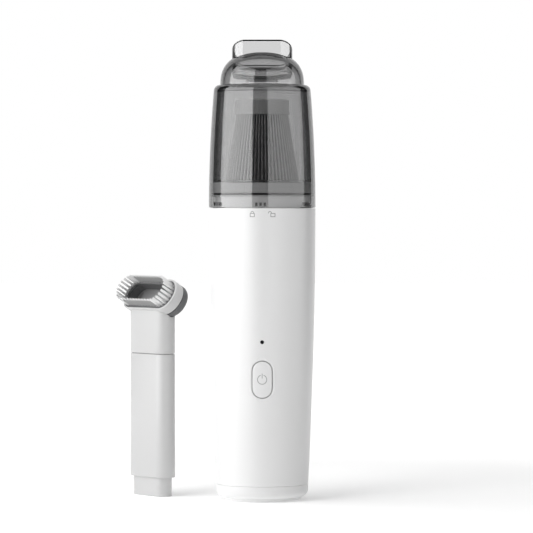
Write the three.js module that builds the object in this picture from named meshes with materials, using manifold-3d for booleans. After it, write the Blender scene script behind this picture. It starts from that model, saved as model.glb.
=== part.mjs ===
// A portable handheld vacuum cleaner and its brush tool.
// Millimetres, +Z up. The origin is the middle of the foot pad's underside, on the cleaner's axis.
// The power button faces -Y. The brush tool stands to the left, at -X.
import * as THREE from "three";
import { mergeVertices } from "three/addons/utils/BufferGeometryUtils.js";
import Module from "manifold-3d";

const wasm = await Module();
wasm.setup();

// Fits shared by all mouldings
const clearance = 0.3;
const seam = 0.3;
const overrun = 5;
const cutterSize = 160;
const mergeDistance = 0.0001;
const roundSegments = 32;
const innerSegments = 20;
const smallSegments = 8;
const cornerSegments = 3;
const profileSteps = 3;
const arcSegments = 2;

// Foot pad and bottom cap
const padRadius = 25;
const padProud = 2.4;
const padInset = 1;
const padEdge = 0.8;
const capBandHeight = 7.8;
const capCornerWidth = 3.6;
const capCornerHeight = 5.2;
const capFloor = 4;
const spigotHeight = 5.6;
const spigotWall = 1.8;

// Body shell
const bodyLength = 178.9;
const bodyTopRadius = 34.6;
const bodyFootRadius = 30;
const bodyWall = 2.2;
const bodyTaperPower = 2;
const bodyRings = 4;

// Power button, indicator, charging hole and exhaust slots
const buttonWidth = 13.4;
const buttonHeight = 24.4;
const buttonFlangeLip = 1.6;
const buttonFlangeThickness = 1.4;
const buttonFlangeDepth = 1.8;
const buttonTravel = 0.6;
const stemWidth = 5;
const lightPipeRadius = 0.95;
const lightPipeCollar = 0.9;
const lightPipeAboveButton = 11.8;
const exhaustSlotCount = 8;
const exhaustSlotHeight = 1.8;
const exhaustSlotPitch = 3.8;
const exhaustSlotWidth = 27;
const exhaustBelowTop = 69;
const foamThickness = 1.6;
const foamMargin = 3;

// Neck, bayonet and seal
const neckHeight = 6.5;
const neckSpigot = 9.4;
const neckWall = 2.5;
const neckPlate = 2;
const neckHoleRadius = 20.5;
const neckSpokes = 3;
const neckSpokeWidth = 2.4;
const skirtGap = 0.4;
const lugCount = 3;
const lugDepth = 1.2;
const lugHeight = 2.2;
const lugLift = 1.3;
const lugArcDegrees = 12;
const twistDegrees = 10.5;
const trackPlayDegrees = 1;
const sealThickness = 1.1;
const sealWidth = 3.6;
const sealInset = 0.5;

// Dust cup
const cupHeight = 79.7;
const cupWall = 2.2;
const cupTaper = 3.5;
const cupTaperPower = 2;
const cupRings = 3;
const shoulderRound = 4;
const shoulderLedge = 0.3;
const roofThickness = 3.4;
const domeHeight = 21.4;
const domeWall = 2.1;
const domePower = 2.5;
const domeRings = 6;
const facetDegrees = 31;
const facetBelowRim = 0.6;
const linerWall = 1.5;
const linerGap = 0.4;
const linerBead = 1.2;

// Intake nozzle and dust flap
const nozzleWidth = 39.2;
const nozzleDepth = 17.6;
const nozzleCorner = 8.5;
const nozzleWall = 1.6;
const nozzleRimRise = 29.1;
const nozzleDrop = 10.5;
const rimDegrees = 37;
const flapThickness = 1.2;
const flapOverlap = 1;
const flapHingeSetback = 1;
const flapTabWidth = 17.4;
const flapBarrelRadius = 1.5;
const flapPinRadius = 0.7;
const earWidth = 1.6;

// Filter
const filterFlangeHeight = 8;
const filterFlangeRim = 2;
const filterFlangeFloor = 2;
const filterFootWidth = 5.5;
const pleatCount = 60;
const filterBelowShoulder = 9.8;
const pleatFootRadius = 24.2;
const pleatTopRadius = 16.8;
const pleatDepth = 2.6;
const pleatPaper = 1;
const filterCapHeight = 9.6;
const filterCapWall = 1.6;
const filterCapBrim = 0.6;
const filterCapBrimHeight = 1;

// Fan and motor
const gasketThickness = 1.7;
const gasketWidth = 5;
const fanCoverThickness = 2;
const fanInletRadius = 11.5;
const fanHousingHeight = 29.6;
const fanHousingWall = 1.9;
const fanAirGap = 3.1;
const fanWindowCount = 8;
const fanWindowHeight = 8;
const fanWindowWidth = 9;
const impellerGap = 2.6;
const impellerHeight = 13;
const impellerPlate = 1.2;
const impellerHubRadius = 5;
const impellerBladeCount = 9;
const impellerBladeThickness = 1;
const impellerBladeSweepDegrees = 50;
const impellerSteps = 4;
const shaftRadius = 1.6;
const shaftInMotor = 10;
const motorRadius = 14.5;
const motorHeight = 33.4;
const motorTerminal = 3;
const damperThickness = 3;
const damperHeight = 5;
const damperInset = 2;

// Chassis and screws
const chassisWall = 1.8;
const ribThickness = 2;
const bossRadius = 2.8;
const bossLength = 14;
const bossOffset = 20.8;
const bossSpacing = 22;
const bossAboveCells = 10;
const screwRadius = 1.1;
const screwHeadRadius = 2.2;
const screwHeadHeight = 1.6;
const screwLength = 22;
const capScrewOffset = 14;
const capScrewLength = 14;

// Batteries and boards
const cellRadius = 9.1;
const cellLength = 65;
const cellGap = 0.8;
const cellSetback = 6;
const cellTipRadius = 3;
const cellTipHeight = 0.8;
const stripWidth = 8;
const stripThickness = 0.4;
const boardWidth = 26;
const boardThickness = 1.6;
const boardStandoff = 8.3;
const boardTopMargin = 6;
const boardBelowMotor = 16.7;
const switchSize = 6;
const switchDepth = 3.5;
const plungerRadius = 1.75;
const plungerLength = 1;
const socketWidth = 8.9;
const socketHeight = 3.2;
const socketDepth = 7.3;
const socketWall = 0.4;
const socketAboveCap = 20;
const chargeBoardWidth = 16;
const chargeBoardDepth = 9;
const chargeBoardThickness = 1.2;

// Brush tool
const tubeWidth = 39.2;
const tubeDepth = 14.6;
const tubeWall = 1.5;
const tubeLength = 81;
const tubeCorner = 7;
const tongueLength = 12.6;
const tongueWidth = 34;
const tongueDepth = 11.8;
const tongueWall = 1.6;
const plugLength = 8;
const headAboveSeam = 39;
const headReach = 2.7;
const headTiltDegrees = 30;
const mouthLength = 55;
const mouthWidth = 22.8;
const collarDepth = 7;
const rimWall = 1.2;
const backingWidth = 2.4;
const backingDepth = 1.2;
const backingLedge = 1.5;
const bowlDepth = 7;
const bowlWall = 1.8;
const bowlRound = 5;
const bowlSteps = 3;
const straightTufts = 12;
const arcTufts = 10;
const strandLength = 9.5;
const strandRadius = 0.21;
const strandSides = 3;
const strandSpacing = 0.46;
const strandsAround = 6;
const toolLeft = 72.3;
const toolBack = 30;
const toolTurnDegrees = 52;

// Levels and radii worked out from the sizes above
const capUnder = padProud;
const capTop = capUnder + capBandHeight;
const bodyBottom = capTop + seam;
const bodyTop = bodyBottom + bodyLength;
const bodyFootInner = bodyFootRadius - bodyWall;
const neckRadius = bodyTopRadius - bodyWall - clearance;
const neckInner = neckRadius - neckWall;
const cupBottom = bodyTop + seam;
const neckTop = cupBottom + neckHeight;
const skirtInner = neckRadius + skirtGap;
const cupBaseRadius = skirtInner + cupWall;
const filterBottom = neckTop + clearance + sealThickness + clearance;
const filterFlangeTop = filterBottom + filterFlangeHeight;
const mediaBottom = filterFlangeTop + clearance;
const filterTop = cupBottom + cupHeight - filterBelowShoulder;
const mediaTop = filterTop - filterCapHeight - clearance;
const pleatedHeight = mediaTop - mediaBottom;
const chassisRadius = bodyFootInner - clearance;
const chassisBottom = capTop + spigotHeight + clearance;
const cellBottom = chassisBottom + ribThickness + clearance;
const cellTop = cellBottom + cellLength;
const cellOffset = cellRadius + cellGap / 2;
const cellSpan = 2 * cellOffset;
const boardBack = cellSetback - cellRadius - boardStandoff;
const boardFront = boardBack - boardThickness;
const socketLevel = capTop + socketAboveCap;
const gasketTop = neckTop - neckPlate - clearance;
const gasketBottom = gasketTop - gasketThickness;
const fanCoverTop = gasketBottom - clearance;
const fanCoverBottom = fanCoverTop - fanCoverThickness;
const fanHousingTop = fanCoverBottom - clearance;
const fanHousingBottom = fanHousingTop - fanHousingHeight;
const fanHousingRadius = neckInner - fanAirGap;
const impellerRadius = fanHousingRadius - fanHousingWall - impellerGap;
const impellerTop = fanHousingTop - impellerGap;
const impellerBottom = impellerTop - impellerHeight;
const motorTop = fanHousingBottom - clearance;
const motorBottom = motorTop - motorHeight;
const chassisTop = fanHousingBottom - clearance;
const boardTop = motorBottom - boardBelowMotor;
const lightPipeLevel = boardTop - boardTopMargin;
const buttonLevel = lightPipeLevel - lightPipeAboveButton - buttonHeight / 2;
const rearBossLevel = cellTop + bossAboveCells;
const exhaustMiddle = bodyTop - exhaustBelowTop;
const exhaustSpan = (exhaustSlotCount - 1) * exhaustSlotPitch + exhaustSlotHeight;

// Geometry helpers
const radians = (degrees) => (degrees * Math.PI) / 180;

// A geometry as a solid: shared points merged, collapsed faces dropped, faces turned outwards.
function solidOf(geometry) {
  const bare = geometry.index ? geometry.toNonIndexed() : geometry.clone();
  bare.deleteAttribute("normal");
  bare.deleteAttribute("uv");
  const merged = mergeVertices(bare, mergeDistance);
  const index = merged.index.array;
  const faces = [];
  for (let i = 0; i < index.length; i += 3) {
    const [a, b, c] = index.slice(i, i + 3);
    if (a !== b && b !== c && c !== a) faces.push([a, b, c]);
  }
  const build = (list) =>
    new wasm.Manifold(
      new wasm.Mesh({
        numProp: 3,
        vertProperties: merged.attributes.position.array,
        triVerts: new Uint32Array(list.flat()),
      }),
    );
  const made = build(faces);
  return made.volume() < 0 ? build(faces.map(([a, b, c]) => [a, c, b])) : made;
}

function geometryOf(solid) {
  const mesh = solid.getMesh();
  const points = new Float32Array(mesh.numVert * 3);
  for (let i = 0; i < mesh.numVert; i++) {
    points.set(mesh.vertProperties.subarray(i * mesh.numProp, i * mesh.numProp + 3), i * 3);
  }
  return new THREE.BufferGeometry()
    .setAttribute("position", new THREE.BufferAttribute(points, 3))
    .setIndex(new THREE.BufferAttribute(mesh.triVerts, 1));
}

const join = (...pieces) => geometryOf(pieces.map(solidOf).reduce((a, b) => a.add(b)));
const cut = (body, ...tools) =>
  geometryOf(tools.map(solidOf).reduce((a, b) => a.subtract(b), solidOf(body)));
const common = (a, b) => geometryOf(solidOf(a).intersect(solidOf(b)));

// Turns an outline of [radius, height] points about the Z axis.
function revolve(outline, segments = roundSegments) {
  const onAxis = outline[0][0] === 0 && outline[outline.length - 1][0] === 0;
  const loop = onAxis ? outline : [...outline, outline[0]];
  const points = loop.map(([r, z]) => new THREE.Vector2(r, z));
  return new THREE.LatheGeometry(points, segments).rotateX(Math.PI / 2);
}

const disc = (radius, bottom, top, segments = roundSegments) =>
  revolve([[0, bottom], [radius, bottom], [radius, top], [0, top]], segments);

const ring = (inner, outer, bottom, top, segments = roundSegments) =>
  revolve([[inner, bottom], [outer, bottom], [outer, top], [inner, top]], segments);

// A box from its lowest to its highest corner.
function box([x0, y0, z0], [x1, y1, z1]) {
  return new THREE.BoxGeometry(x1 - x0, y1 - y0, z1 - z0).translate(
    (x0 + x1) / 2,
    (y0 + y1) / 2,
    (z0 + z1) / 2,
  );
}

// A rod along Y, from the nearer to the further y.
const rodAlongY = (radius, x, y0, y1, z) =>
  new THREE.CylinderGeometry(radius, radius, y1 - y0, smallSegments).translate(x, (y0 + y1) / 2, z);

const rodAlongX = (radius, x0, x1, y, z) =>
  new THREE.CylinderGeometry(radius, radius, x1 - x0, smallSegments)
    .rotateZ(Math.PI / 2)
    .translate((x0 + x1) / 2, y, z);

function roundedShape(width, depth, corner) {
  const [x, y] = [width / 2 - corner, depth / 2 - corner];
  const shape = new THREE.Shape();
  shape.moveTo(x + corner, -y);
  shape.absarc(x, y, corner, 0, Math.PI / 2);
  shape.absarc(-x, y, corner, Math.PI / 2, Math.PI);
  shape.absarc(-x, -y, corner, Math.PI, 1.5 * Math.PI);
  shape.absarc(x, -y, corner, 1.5 * Math.PI, 2 * Math.PI);
  return shape;
}

const extrude = (shape, bottom, top, segments = cornerSegments) =>
  new THREE.ExtrudeGeometry(shape, {
    depth: top - bottom,
    bevelEnabled: false,
    curveSegments: segments,
  }).translate(0, 0, bottom);

const roundedBlock = (width, depth, corner, bottom, top) =>
  extrude(roundedShape(width, depth, corner), bottom, top);

// A block of a ring between two angles, in degrees anticlockwise from +X.
function arcBlock(inner, outer, fromDegrees, toDegrees, bottom, top, segments = arcSegments) {
  const shape = new THREE.Shape();
  shape.absarc(0, 0, outer, radians(fromDegrees), radians(toDegrees), false);
  shape.absarc(0, 0, inner, radians(toDegrees), radians(fromDegrees), true);
  return extrude(shape, bottom, top, segments);
}

// Everything above a plane that falls towards +Y, through the point y, z.
const aboveSlope = (degrees, y, z) =>
  new THREE.BoxGeometry(cutterSize, cutterSize, cutterSize)
    .translate(0, 0, cutterSize / 2)
    .rotateX(-radians(degrees))
    .translate(0, y, z);

const spaced = (from, to, steps) =>
  Array.from({ length: steps + 1 }, (_, i) => from + ((to - from) * i) / steps);

// Outer radius of the body shell at a level.
const bodyRadius = (z) =>
  bodyTopRadius -
  (bodyTopRadius - bodyFootRadius) * ((bodyTop - z) / bodyLength) ** bodyTaperPower;

// The body's barrelled outline as a solid, drawn in by an offset.
function bodyBlank(offset, bottom, top) {
  const levels = spaced(bottom, top, bodyRings);
  return revolve([[0, bottom], ...levels.map((z) => [bodyRadius(z) - offset, z]), [0, top]]);
}

// Materials
const plastic = (color, roughness, extra = {}) =>
  new THREE.MeshStandardMaterial({ color, roughness, metalness: 0, ...extra });
const metal = (color, roughness) =>
  new THREE.MeshStandardMaterial({ color, roughness, metalness: 1 });
const whitePlastic = plastic(0xf2f2f2, 0.35);
const smokedPlastic = plastic(0x6e6e70, 0.08, { transparent: true, opacity: 0.45 });
const clearPlastic = plastic(0xc8c8ca, 0.06, { transparent: true, opacity: 0.35 });
const toolPlastic = plastic(0xd6d6d6, 0.4);
const darkPlastic = plastic(0x505254, 0.5);
const blackRubber = plastic(0x1c1c1c, 0.8);
const padRubber = plastic(0xe4e4e4, 0.7);
const filterPaper = plastic(0x2a2a2b, 0.9);
const filterFrame = plastic(0x8a8a8c, 0.5);
const bristleNylon = plastic(0xf4f4f4, 0.5);
const innerPlastic = plastic(0x3a3a3d, 0.6);
const foam = plastic(0x202022, 0.95);
const boardGreen = plastic(0x1f5a38, 0.5);
const cellWrap = plastic(0x2c5c8c, 0.45);
const lensDark = plastic(0x101012, 0.2);
const steel = metal(0xb8b8bc, 0.3);
const nickel = metal(0xc4c2b8, 0.35);

const cleaner = new THREE.Group();

function piece(parent, name, geometry, material, x = 0, y = 0, z = 0) {
  const mesh = new THREE.Mesh(geometry, material);
  mesh.name = name;
  mesh.position.set(x, y, z);
  parent.add(mesh);
  return mesh;
}

// Foot pad: a disc with a softened lower edge, let into the cap.
function footPad() {
  const top = padProud + padInset;
  return revolve([
    [0, 0],
    [padRadius - padEdge, 0],
    [padRadius, padEdge],
    [padRadius, top],
    [0, top],
  ]);
}

// Bottom cap: a dish whose spigot slides into the body shell.
function bottomCap() {
  const recessRoof = padInset + clearance;
  const outer = bodyFootRadius;
  const spigotOuter = bodyFootInner - clearance;
  const corner = spaced(0, 90, profileSteps).map((a) => [
    outer - capCornerWidth * (1 - Math.sin(radians(a))),
    capCornerHeight * (1 - Math.cos(radians(a))),
  ]);
  const dish = revolve([
    [0, recessRoof],
    [padRadius + clearance, recessRoof],
    [padRadius + clearance, 0],
    ...corner,
    [outer, capBandHeight],
    [spigotOuter, capBandHeight],
    [spigotOuter, capBandHeight + spigotHeight],
    [spigotOuter - spigotWall, capBandHeight + spigotHeight],
    [spigotOuter - spigotWall, recessRoof + capFloor],
    [0, recessRoof + capFloor],
  ]);
  const holes = [-1, 1].flatMap((side) => {
    const y = side * capScrewOffset;
    const head = screwHeadRadius + clearance;
    const shank = screwRadius + clearance;
    const seat = recessRoof + screwHeadHeight + clearance;
    return [
      disc(head, -overrun, seat, smallSegments).translate(0, y, 0),
      disc(shank, -overrun, capBandHeight + overrun, smallSegments).translate(0, y, 0),
    ];
  });
  return cut(dish, ...holes);
}

// Body shell, with its button hole, indicator hole, charging hole and exhaust slots.
function bodyShell() {
  const levels = spaced(bodyBottom, bodyTop, bodyRings);
  const outside = levels.map((z) => [bodyRadius(z), z]);
  const inside = levels.map((z) => [bodyRadius(z) - bodyWall, z]).reverse();
  const tube = revolve([...outside, ...inside]);
  const reach = bodyTopRadius + overrun;
  const buttonHole = pill(buttonWidth, buttonHeight, -reach, 0, buttonLevel);
  const pipeHole = rodAlongY(lightPipeRadius + clearance, 0, -reach, 0, lightPipeLevel);
  const socketHole = roundedBlock(
    socketWidth + 2 * clearance,
    socketHeight + 2 * clearance,
    socketHeight / 2,
    0,
    reach,
  )
    .rotateX(-Math.PI / 2)
    .translate(0, 0, socketLevel);
  const slots = exhaustLevels().map((z) =>
    box(
      [-exhaustSlotWidth / 2, 0, z - exhaustSlotHeight / 2],
      [exhaustSlotWidth / 2, reach, z + exhaustSlotHeight / 2],
    ),
  );
  return cut(tube, buttonHole, pipeHole, socketHole, ...slots);
}

const exhaustLevels = () =>
  Array.from(
    { length: exhaustSlotCount },
    (_, i) => exhaustMiddle + (i - (exhaustSlotCount - 1) / 2) * exhaustSlotPitch,
  );

// A round-ended block standing up, running along Y.
function pill(width, height, y0, y1, z) {
  return roundedBlock(width, height, width / 2, 0, y1 - y0)
    .rotateX(-Math.PI / 2)
    .translate(0, y0, z);
}

// Power button: its face follows the shell, its flange stays behind the wall,
// and its stem ends just short of the switch.
function powerButton() {
  const wallInner = bodyRadius(buttonLevel) - bodyWall;
  const flangeFront = -(wallInner - buttonFlangeDepth);
  const flangeBack = flangeFront + buttonFlangeThickness;
  const stemTip = boardFront - clearance - switchDepth - plungerLength - buttonTravel - clearance;
  const gap = 2 * clearance;
  const face = common(
    pill(buttonWidth - gap, buttonHeight - gap, -bodyTopRadius - overrun, flangeBack, buttonLevel),
    bodyBlank(0, bodyBottom, bodyTop),
  );
  const wide = buttonWidth + 2 * buttonFlangeLip;
  const tall = buttonHeight + 2 * buttonFlangeLip;
  const flange = pill(wide, tall, flangeFront, flangeBack, buttonLevel);
  const stem = box(
    [-stemWidth / 2, flangeFront, buttonLevel - stemWidth / 2],
    [stemWidth / 2, stemTip, buttonLevel + stemWidth / 2],
  );
  return join(face, flange, stem);
}

// Light pipe from the board to the dark dot on the shell.
function lightPipe() {
  const front = -bodyRadius(lightPipeLevel);
  const wallInner = front + bodyWall;
  const back = boardFront - clearance;
  const collarFront = wallInner + clearance;
  return join(
    rodAlongY(lightPipeRadius, 0, front, back, lightPipeLevel),
    rodAlongY(
      lightPipeRadius + lightPipeCollar,
      0,
      collarFront,
      collarFront + lightPipeCollar,
      lightPipeLevel,
    ),
  );
}

// Neck: a sleeve inside the shell and the cup's skirt, with a plate over the fan and the bayonet tracks.
function neckCollar() {
  const bottom = bodyTop - neckSpigot;
  const plateUnder = neckTop - neckPlate;
  const sleeve = revolve([
    [neckInner, bottom],
    [neckRadius, bottom],
    [neckRadius, neckTop],
    [neckHoleRadius, neckTop],
    [neckHoleRadius, plateUnder],
    [neckInner, plateUnder],
  ]);
  const spokes = Array.from({ length: neckSpokes }, (_, i) =>
    box(
      [0, -neckSpokeWidth / 2, plateUnder],
      [neckHoleRadius + clearance, neckSpokeWidth / 2, neckTop],
    ).rotateZ((2 * Math.PI * i) / neckSpokes - Math.PI / 2),
  );
  return cut(join(sleeve, ...spokes), ...bayonetTracks());
}

// Each track is a level groove that the lug turns in, and an entry that it lifts out of.
function bayonetTracks() {
  const floor = neckRadius - (lugDepth - skirtGap) - clearance;
  const low = cupBottom + lugLift - clearance;
  const high = low + lugHeight + 2 * clearance;
  const half = lugArcDegrees / 2 + trackPlayDegrees;
  const outer = neckRadius + overrun;
  return lugAngles().flatMap((angle) => [
    arcBlock(floor, outer, angle - twistDegrees - half, angle + twistDegrees + half, low, high),
    arcBlock(floor, outer, angle - half, angle + twistDegrees + half, low, neckTop + overrun),
  ]);
}

const lugAngles = () =>
  Array.from({ length: lugCount }, (_, i) => 90 + (360 * i) / lugCount);

function neckSeal() {
  const outer = neckRadius - sealInset;
  const bottom = neckTop + clearance;
  return ring(outer - sealWidth, outer, bottom, bottom + sealThickness, innerSegments);
}

// Dust cup outline: taper, rounded shoulder and dome, all measured up from the cup's lower edge.
const cupRadius = (h) => cupBaseRadius - cupTaper * (h / cupHeight) ** cupTaperPower;
const shoulderStart = cupHeight - shoulderRound;
const shoulderRadius = cupRadius(shoulderStart);
const domeRadius = shoulderRadius - shoulderRound - shoulderLedge;

// Points of a dome from its rim to its top: a quarter of a superellipse.
const domePoints = (radius, height, base) =>
  spaced(0, 90, domeRings).map((a) => [
    a === 90 ? 0 : radius * Math.cos(radians(a)) ** (2 / domePower),
    base + height * Math.sin(radians(a)) ** (2 / domePower),
  ]);

function cupOutside() {
  const side = spaced(0, shoulderStart, cupRings).map((h) => [cupRadius(h), h]);
  const centre = shoulderRadius - shoulderRound;
  const shoulder = spaced(0, 90, profileSteps)
    .slice(1)
    .map((a) => [
      centre + shoulderRound * Math.cos(radians(a)),
      shoulderStart + shoulderRound * Math.sin(radians(a)),
    ]);
  const solid = revolve([
    [0, 0],
    ...side,
    ...shoulder,
    ...domePoints(domeRadius, domeHeight, cupHeight),
  ]);
  return cut(solid, facetCutter(0));
}

function cupInside() {
  const roof = cupHeight - roofThickness;
  const side = spaced(0, roof, cupRings).map((h) => [cupRadius(h) - cupWall, h]);
  const bore = domeRadius - domeWall;
  const solid = revolve([
    [0, -overrun],
    [cupRadius(0) - cupWall, -overrun],
    ...side,
    [bore, roof],
    ...domePoints(bore, domeHeight - domeWall, cupHeight),
  ]);
  return cut(solid, facetCutter(domeWall / Math.cos(radians(facetDegrees))));
}

// The dome's slanted back face passes just under the back of the nozzle's rim.
const rimBack = cupHeight + nozzleRimRise - nozzleDepth * Math.tan(radians(rimDegrees));
const facetCutter = (drop) => aboveSlope(facetDegrees, nozzleDepth / 2, rimBack - facetBelowRim - drop);

function dustCupShell() {
  const hole = roundedBlock(
    nozzleWidth + 2 * clearance,
    nozzleDepth + 2 * clearance,
    nozzleCorner + clearance,
    cupHeight - overrun,
    cupHeight + domeHeight + overrun,
  );
  const lugs = lugAngles().map((angle) =>
    arcBlock(
      skirtInner - lugDepth,
      skirtInner + clearance,
      angle - lugArcDegrees / 2,
      angle + lugArcDegrees / 2,
      lugLift,
      lugLift + lugHeight,
    ),
  );
  return join(cut(cupOutside(), cupInside(), hole), ...lugs);
}

// Liner: a thin wall inside the cup, from above the filter's flange to under the roof.
function dustCupLiner() {
  const bottom = mediaBottom - cupBottom;
  const top = cupHeight - roofThickness - clearance;
  const levels = spaced(bottom, top, cupRings);
  const outer = (h) => cupRadius(h) - cupWall - linerGap;
  const outside = levels.map((h) => [outer(h), h]);
  const inside = levels
    .slice(1)
    .map((h) => [outer(h) - linerWall, h])
    .reverse();
  const bead = bottom + linerBead;
  return revolve([
    ...outside,
    ...inside,
    [outer(bead) - linerWall, bead],
    [outer(bottom) - linerWall - linerBead / 2, bottom],
  ]);
}

const nozzleBottom = rimBack - nozzleDrop;
const flapTop = nozzleBottom - clearance;
const flapHingeY = nozzleDepth / 2 + flapHingeSetback;
const flapHingeZ = flapTop - flapBarrelRadius + clearance;

// Nozzle: a flat oval tube with a slanted rim, and two ears for the flap's pin.
function intakeNozzle() {
  const top = cupHeight + nozzleRimRise;
  const outer = roundedBlock(nozzleWidth, nozzleDepth, nozzleCorner, nozzleBottom, top + overrun);
  const bore = roundedBlock(
    nozzleWidth - 2 * nozzleWall,
    nozzleDepth - 2 * nozzleWall,
    nozzleCorner - nozzleWall,
    nozzleBottom - overrun,
    top + 2 * overrun,
  );
  const tube = cut(outer, bore, aboveSlope(rimDegrees, -nozzleDepth / 2, top));
  const inner = flapTabWidth / 2 + clearance;
  const earLow = flapHingeZ - flapBarrelRadius;
  const ears = [-1, 1].map((side) => {
    const near = side * inner;
    const far = side * (inner + earWidth);
    return box(
      [Math.min(near, far), nozzleDepth / 2 - nozzleWall, earLow],
      [Math.max(near, far), flapHingeY + flapBarrelRadius, nozzleBottom + clearance],
    );
  });
  const reach = inner + earWidth + overrun;
  const pinHole = rodAlongX(flapPinRadius + clearance, -reach, reach, flapHingeY, flapHingeZ);
  return cut(join(tube, ...ears), pinHole);
}

// Flap: a soft sheet under the nozzle with a barrel that turns on the pin.
function dustFlap() {
  const sheetWidth = nozzleWidth - 2 * nozzleWall + 2 * flapOverlap;
  const front = -(nozzleDepth / 2 - nozzleWall + flapOverlap);
  const back = nozzleDepth / 2 - nozzleWall - clearance * 2;
  const depth = back - front;
  const sheet = roundedBlock(
    sheetWidth,
    depth,
    nozzleCorner - nozzleWall,
    flapTop - flapThickness,
    flapTop,
  ).translate(0, (front + back) / 2, 0);
  const half = flapTabWidth / 2;
  const tab = box([-half, 0, flapTop - flapThickness], [half, flapHingeY, flapTop]);
  const barrel = rodAlongX(flapBarrelRadius, -half, half, flapHingeY, flapHingeZ);
  const bore = rodAlongX(
    flapPinRadius + clearance,
    -half - overrun,
    half + overrun,
    flapHingeY,
    flapHingeZ,
  );
  return cut(join(sheet, tab, barrel), bore);
}

function flapPin() {
  const reach = flapTabWidth / 2 + clearance + earWidth;
  return rodAlongX(flapPinRadius, -reach, reach, flapHingeY, flapHingeZ);
}

// Filter flange: a ring with a trough, whose inner foot carries the paper cone.
function filterBaseRing() {
  const outer = cupRadius(filterFlangeTop - cupBottom) - cupWall - linerGap;
  const foot = pleatFootRadius + clearance;
  return revolve([
    [foot - filterFootWidth, 0],
    [outer, 0],
    [outer, filterFlangeHeight],
    [outer - filterFlangeRim, filterFlangeHeight],
    [outer - filterFlangeRim, filterFlangeFloor],
    [foot, filterFlangeFloor],
    [foot, filterFlangeHeight],
    [foot - filterFootWidth, filterFlangeHeight],
  ]);
}

// Paper cone: a zigzag wall, outside and inside, from the foot to the top.
function filterMedia() {
  const count = 2 * pleatCount;
  const points = [];
  const loop = (radius, z) => {
    for (let i = 0; i < count; i++) {
      const r = i % 2 ? radius - pleatDepth : radius;
      const a = (2 * Math.PI * i) / count;
      points.push(r * Math.cos(a), r * Math.sin(a), z);
    }
  };
  loop(pleatFootRadius, 0);
  loop(pleatTopRadius, pleatedHeight);
  loop(pleatTopRadius - pleatPaper, pleatedHeight);
  loop(pleatFootRadius - pleatPaper, 0);
  const faces = [];
  for (let k = 0; k < 4; k++) {
    const [low, high] = [k * count, ((k + 1) % 4) * count];
    for (let i = 0; i < count; i++) {
      const j = (i + 1) % count;
      faces.push(low + i, low + j, high + j, low + i, high + j, high + i);
    }
  }
  return new THREE.BufferGeometry()
    .setAttribute("position", new THREE.Float32BufferAttribute(points, 3))
    .setIndex(faces);
}

// Filter cap: closed above, hollow below, with a thin brim over the pleats.
function filterTopCap() {
  const radius = pleatTopRadius + filterCapBrim;
  return revolve([
    [0, filterCapHeight],
    [0, filterCapHeight - filterCapWall],
    [radius - filterCapBrim - filterCapWall, filterCapHeight - filterCapWall],
    [radius - filterCapBrim - filterCapWall, 0],
    [radius + filterCapBrim, 0],
    [radius + filterCapBrim, filterCapBrimHeight],
    [radius, filterCapBrimHeight],
    [radius, filterCapHeight - filterCapWall / 2],
    [radius - filterCapWall / 2, filterCapHeight],
  ]);
}

const fanGasket = () =>
  ring(fanHousingRadius - gasketWidth, fanHousingRadius, gasketBottom, gasketTop, innerSegments);

const fanCover = () =>
  ring(fanInletRadius, fanHousingRadius, fanCoverBottom, fanCoverTop, innerSegments);

// Fan housing: a pot with windows through its wall, where the air leaves for the exhaust.
function fanHousing() {
  const inner = fanHousingRadius - fanHousingWall;
  const floor = fanHousingBottom + fanHousingWall;
  const pot = revolve([
    [shaftRadius + 2 * clearance, fanHousingBottom],
    [fanHousingRadius, fanHousingBottom],
    [fanHousingRadius, fanHousingTop],
    [inner, fanHousingTop],
    [inner, floor],
    [shaftRadius + 2 * clearance, floor],
  ], innerSegments);
  const windows = Array.from({ length: fanWindowCount }, (_, i) =>
    box(
      [inner - overrun, -fanWindowWidth / 2, floor],
      [fanHousingRadius + overrun, fanWindowWidth / 2, floor + fanWindowHeight],
    ).rotateZ((2 * Math.PI * (i + 0.5)) / fanWindowCount),
  );
  return cut(pot, ...windows);
}

// Impeller: back plate, hub and swept blades that rise from the plate.
function fanImpeller() {
  const bore = shaftRadius + clearance;
  const plateTop = impellerBottom + impellerPlate;
  const wheel = revolve([
    [bore, impellerBottom],
    [impellerRadius, impellerBottom],
    [impellerRadius, plateTop],
    [impellerHubRadius, plateTop],
    [impellerHubRadius - shaftRadius, impellerTop],
    [bore, impellerTop],
  ], innerSegments);
  const blades = Array.from({ length: impellerBladeCount }, (_, i) =>
    sweptBlade().rotateZ((2 * Math.PI * i) / impellerBladeCount),
  );
  return join(wheel, ...blades);
}

function sweptBlade() {
  const start = impellerHubRadius - shaftRadius / 2;
  const end = impellerRadius - clearance;
  const side = (offset) =>
    spaced(0, 1, impellerSteps).map((share) => {
      const r = start + (end - start) * share;
      const a = radians(impellerBladeSweepDegrees) * share + offset / r;
      return new THREE.Vector2(r * Math.cos(a), r * Math.sin(a));
    });
  const half = impellerBladeThickness / 2;
  const shape = new THREE.Shape([...side(-half), ...side(half).reverse()]);
  return extrude(shape, impellerBottom + impellerPlate / 2, impellerTop - impellerPlate);
}

const motorShaft = () =>
  disc(shaftRadius, motorTop - shaftInMotor + clearance, impellerTop, smallSegments);

// Motor: a can with a bore for the shaft and a small terminal block under it.
function motorCan() {
  const can = disc(motorRadius, motorBottom, motorTop, innerSegments);
  const bore = disc(
    shaftRadius + clearance,
    motorTop - shaftInMotor,
    motorTop + overrun,
    smallSegments,
  );
  const terminal = box(
    [-motorTerminal, -motorTerminal, motorBottom - motorTerminal],
    [motorTerminal, motorTerminal, motorBottom + clearance],
  );
  return cut(join(can, terminal), bore);
}

const damperLevel = (isTop) =>
  isTop ? motorTop - damperInset - damperHeight : motorBottom + damperInset;

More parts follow.
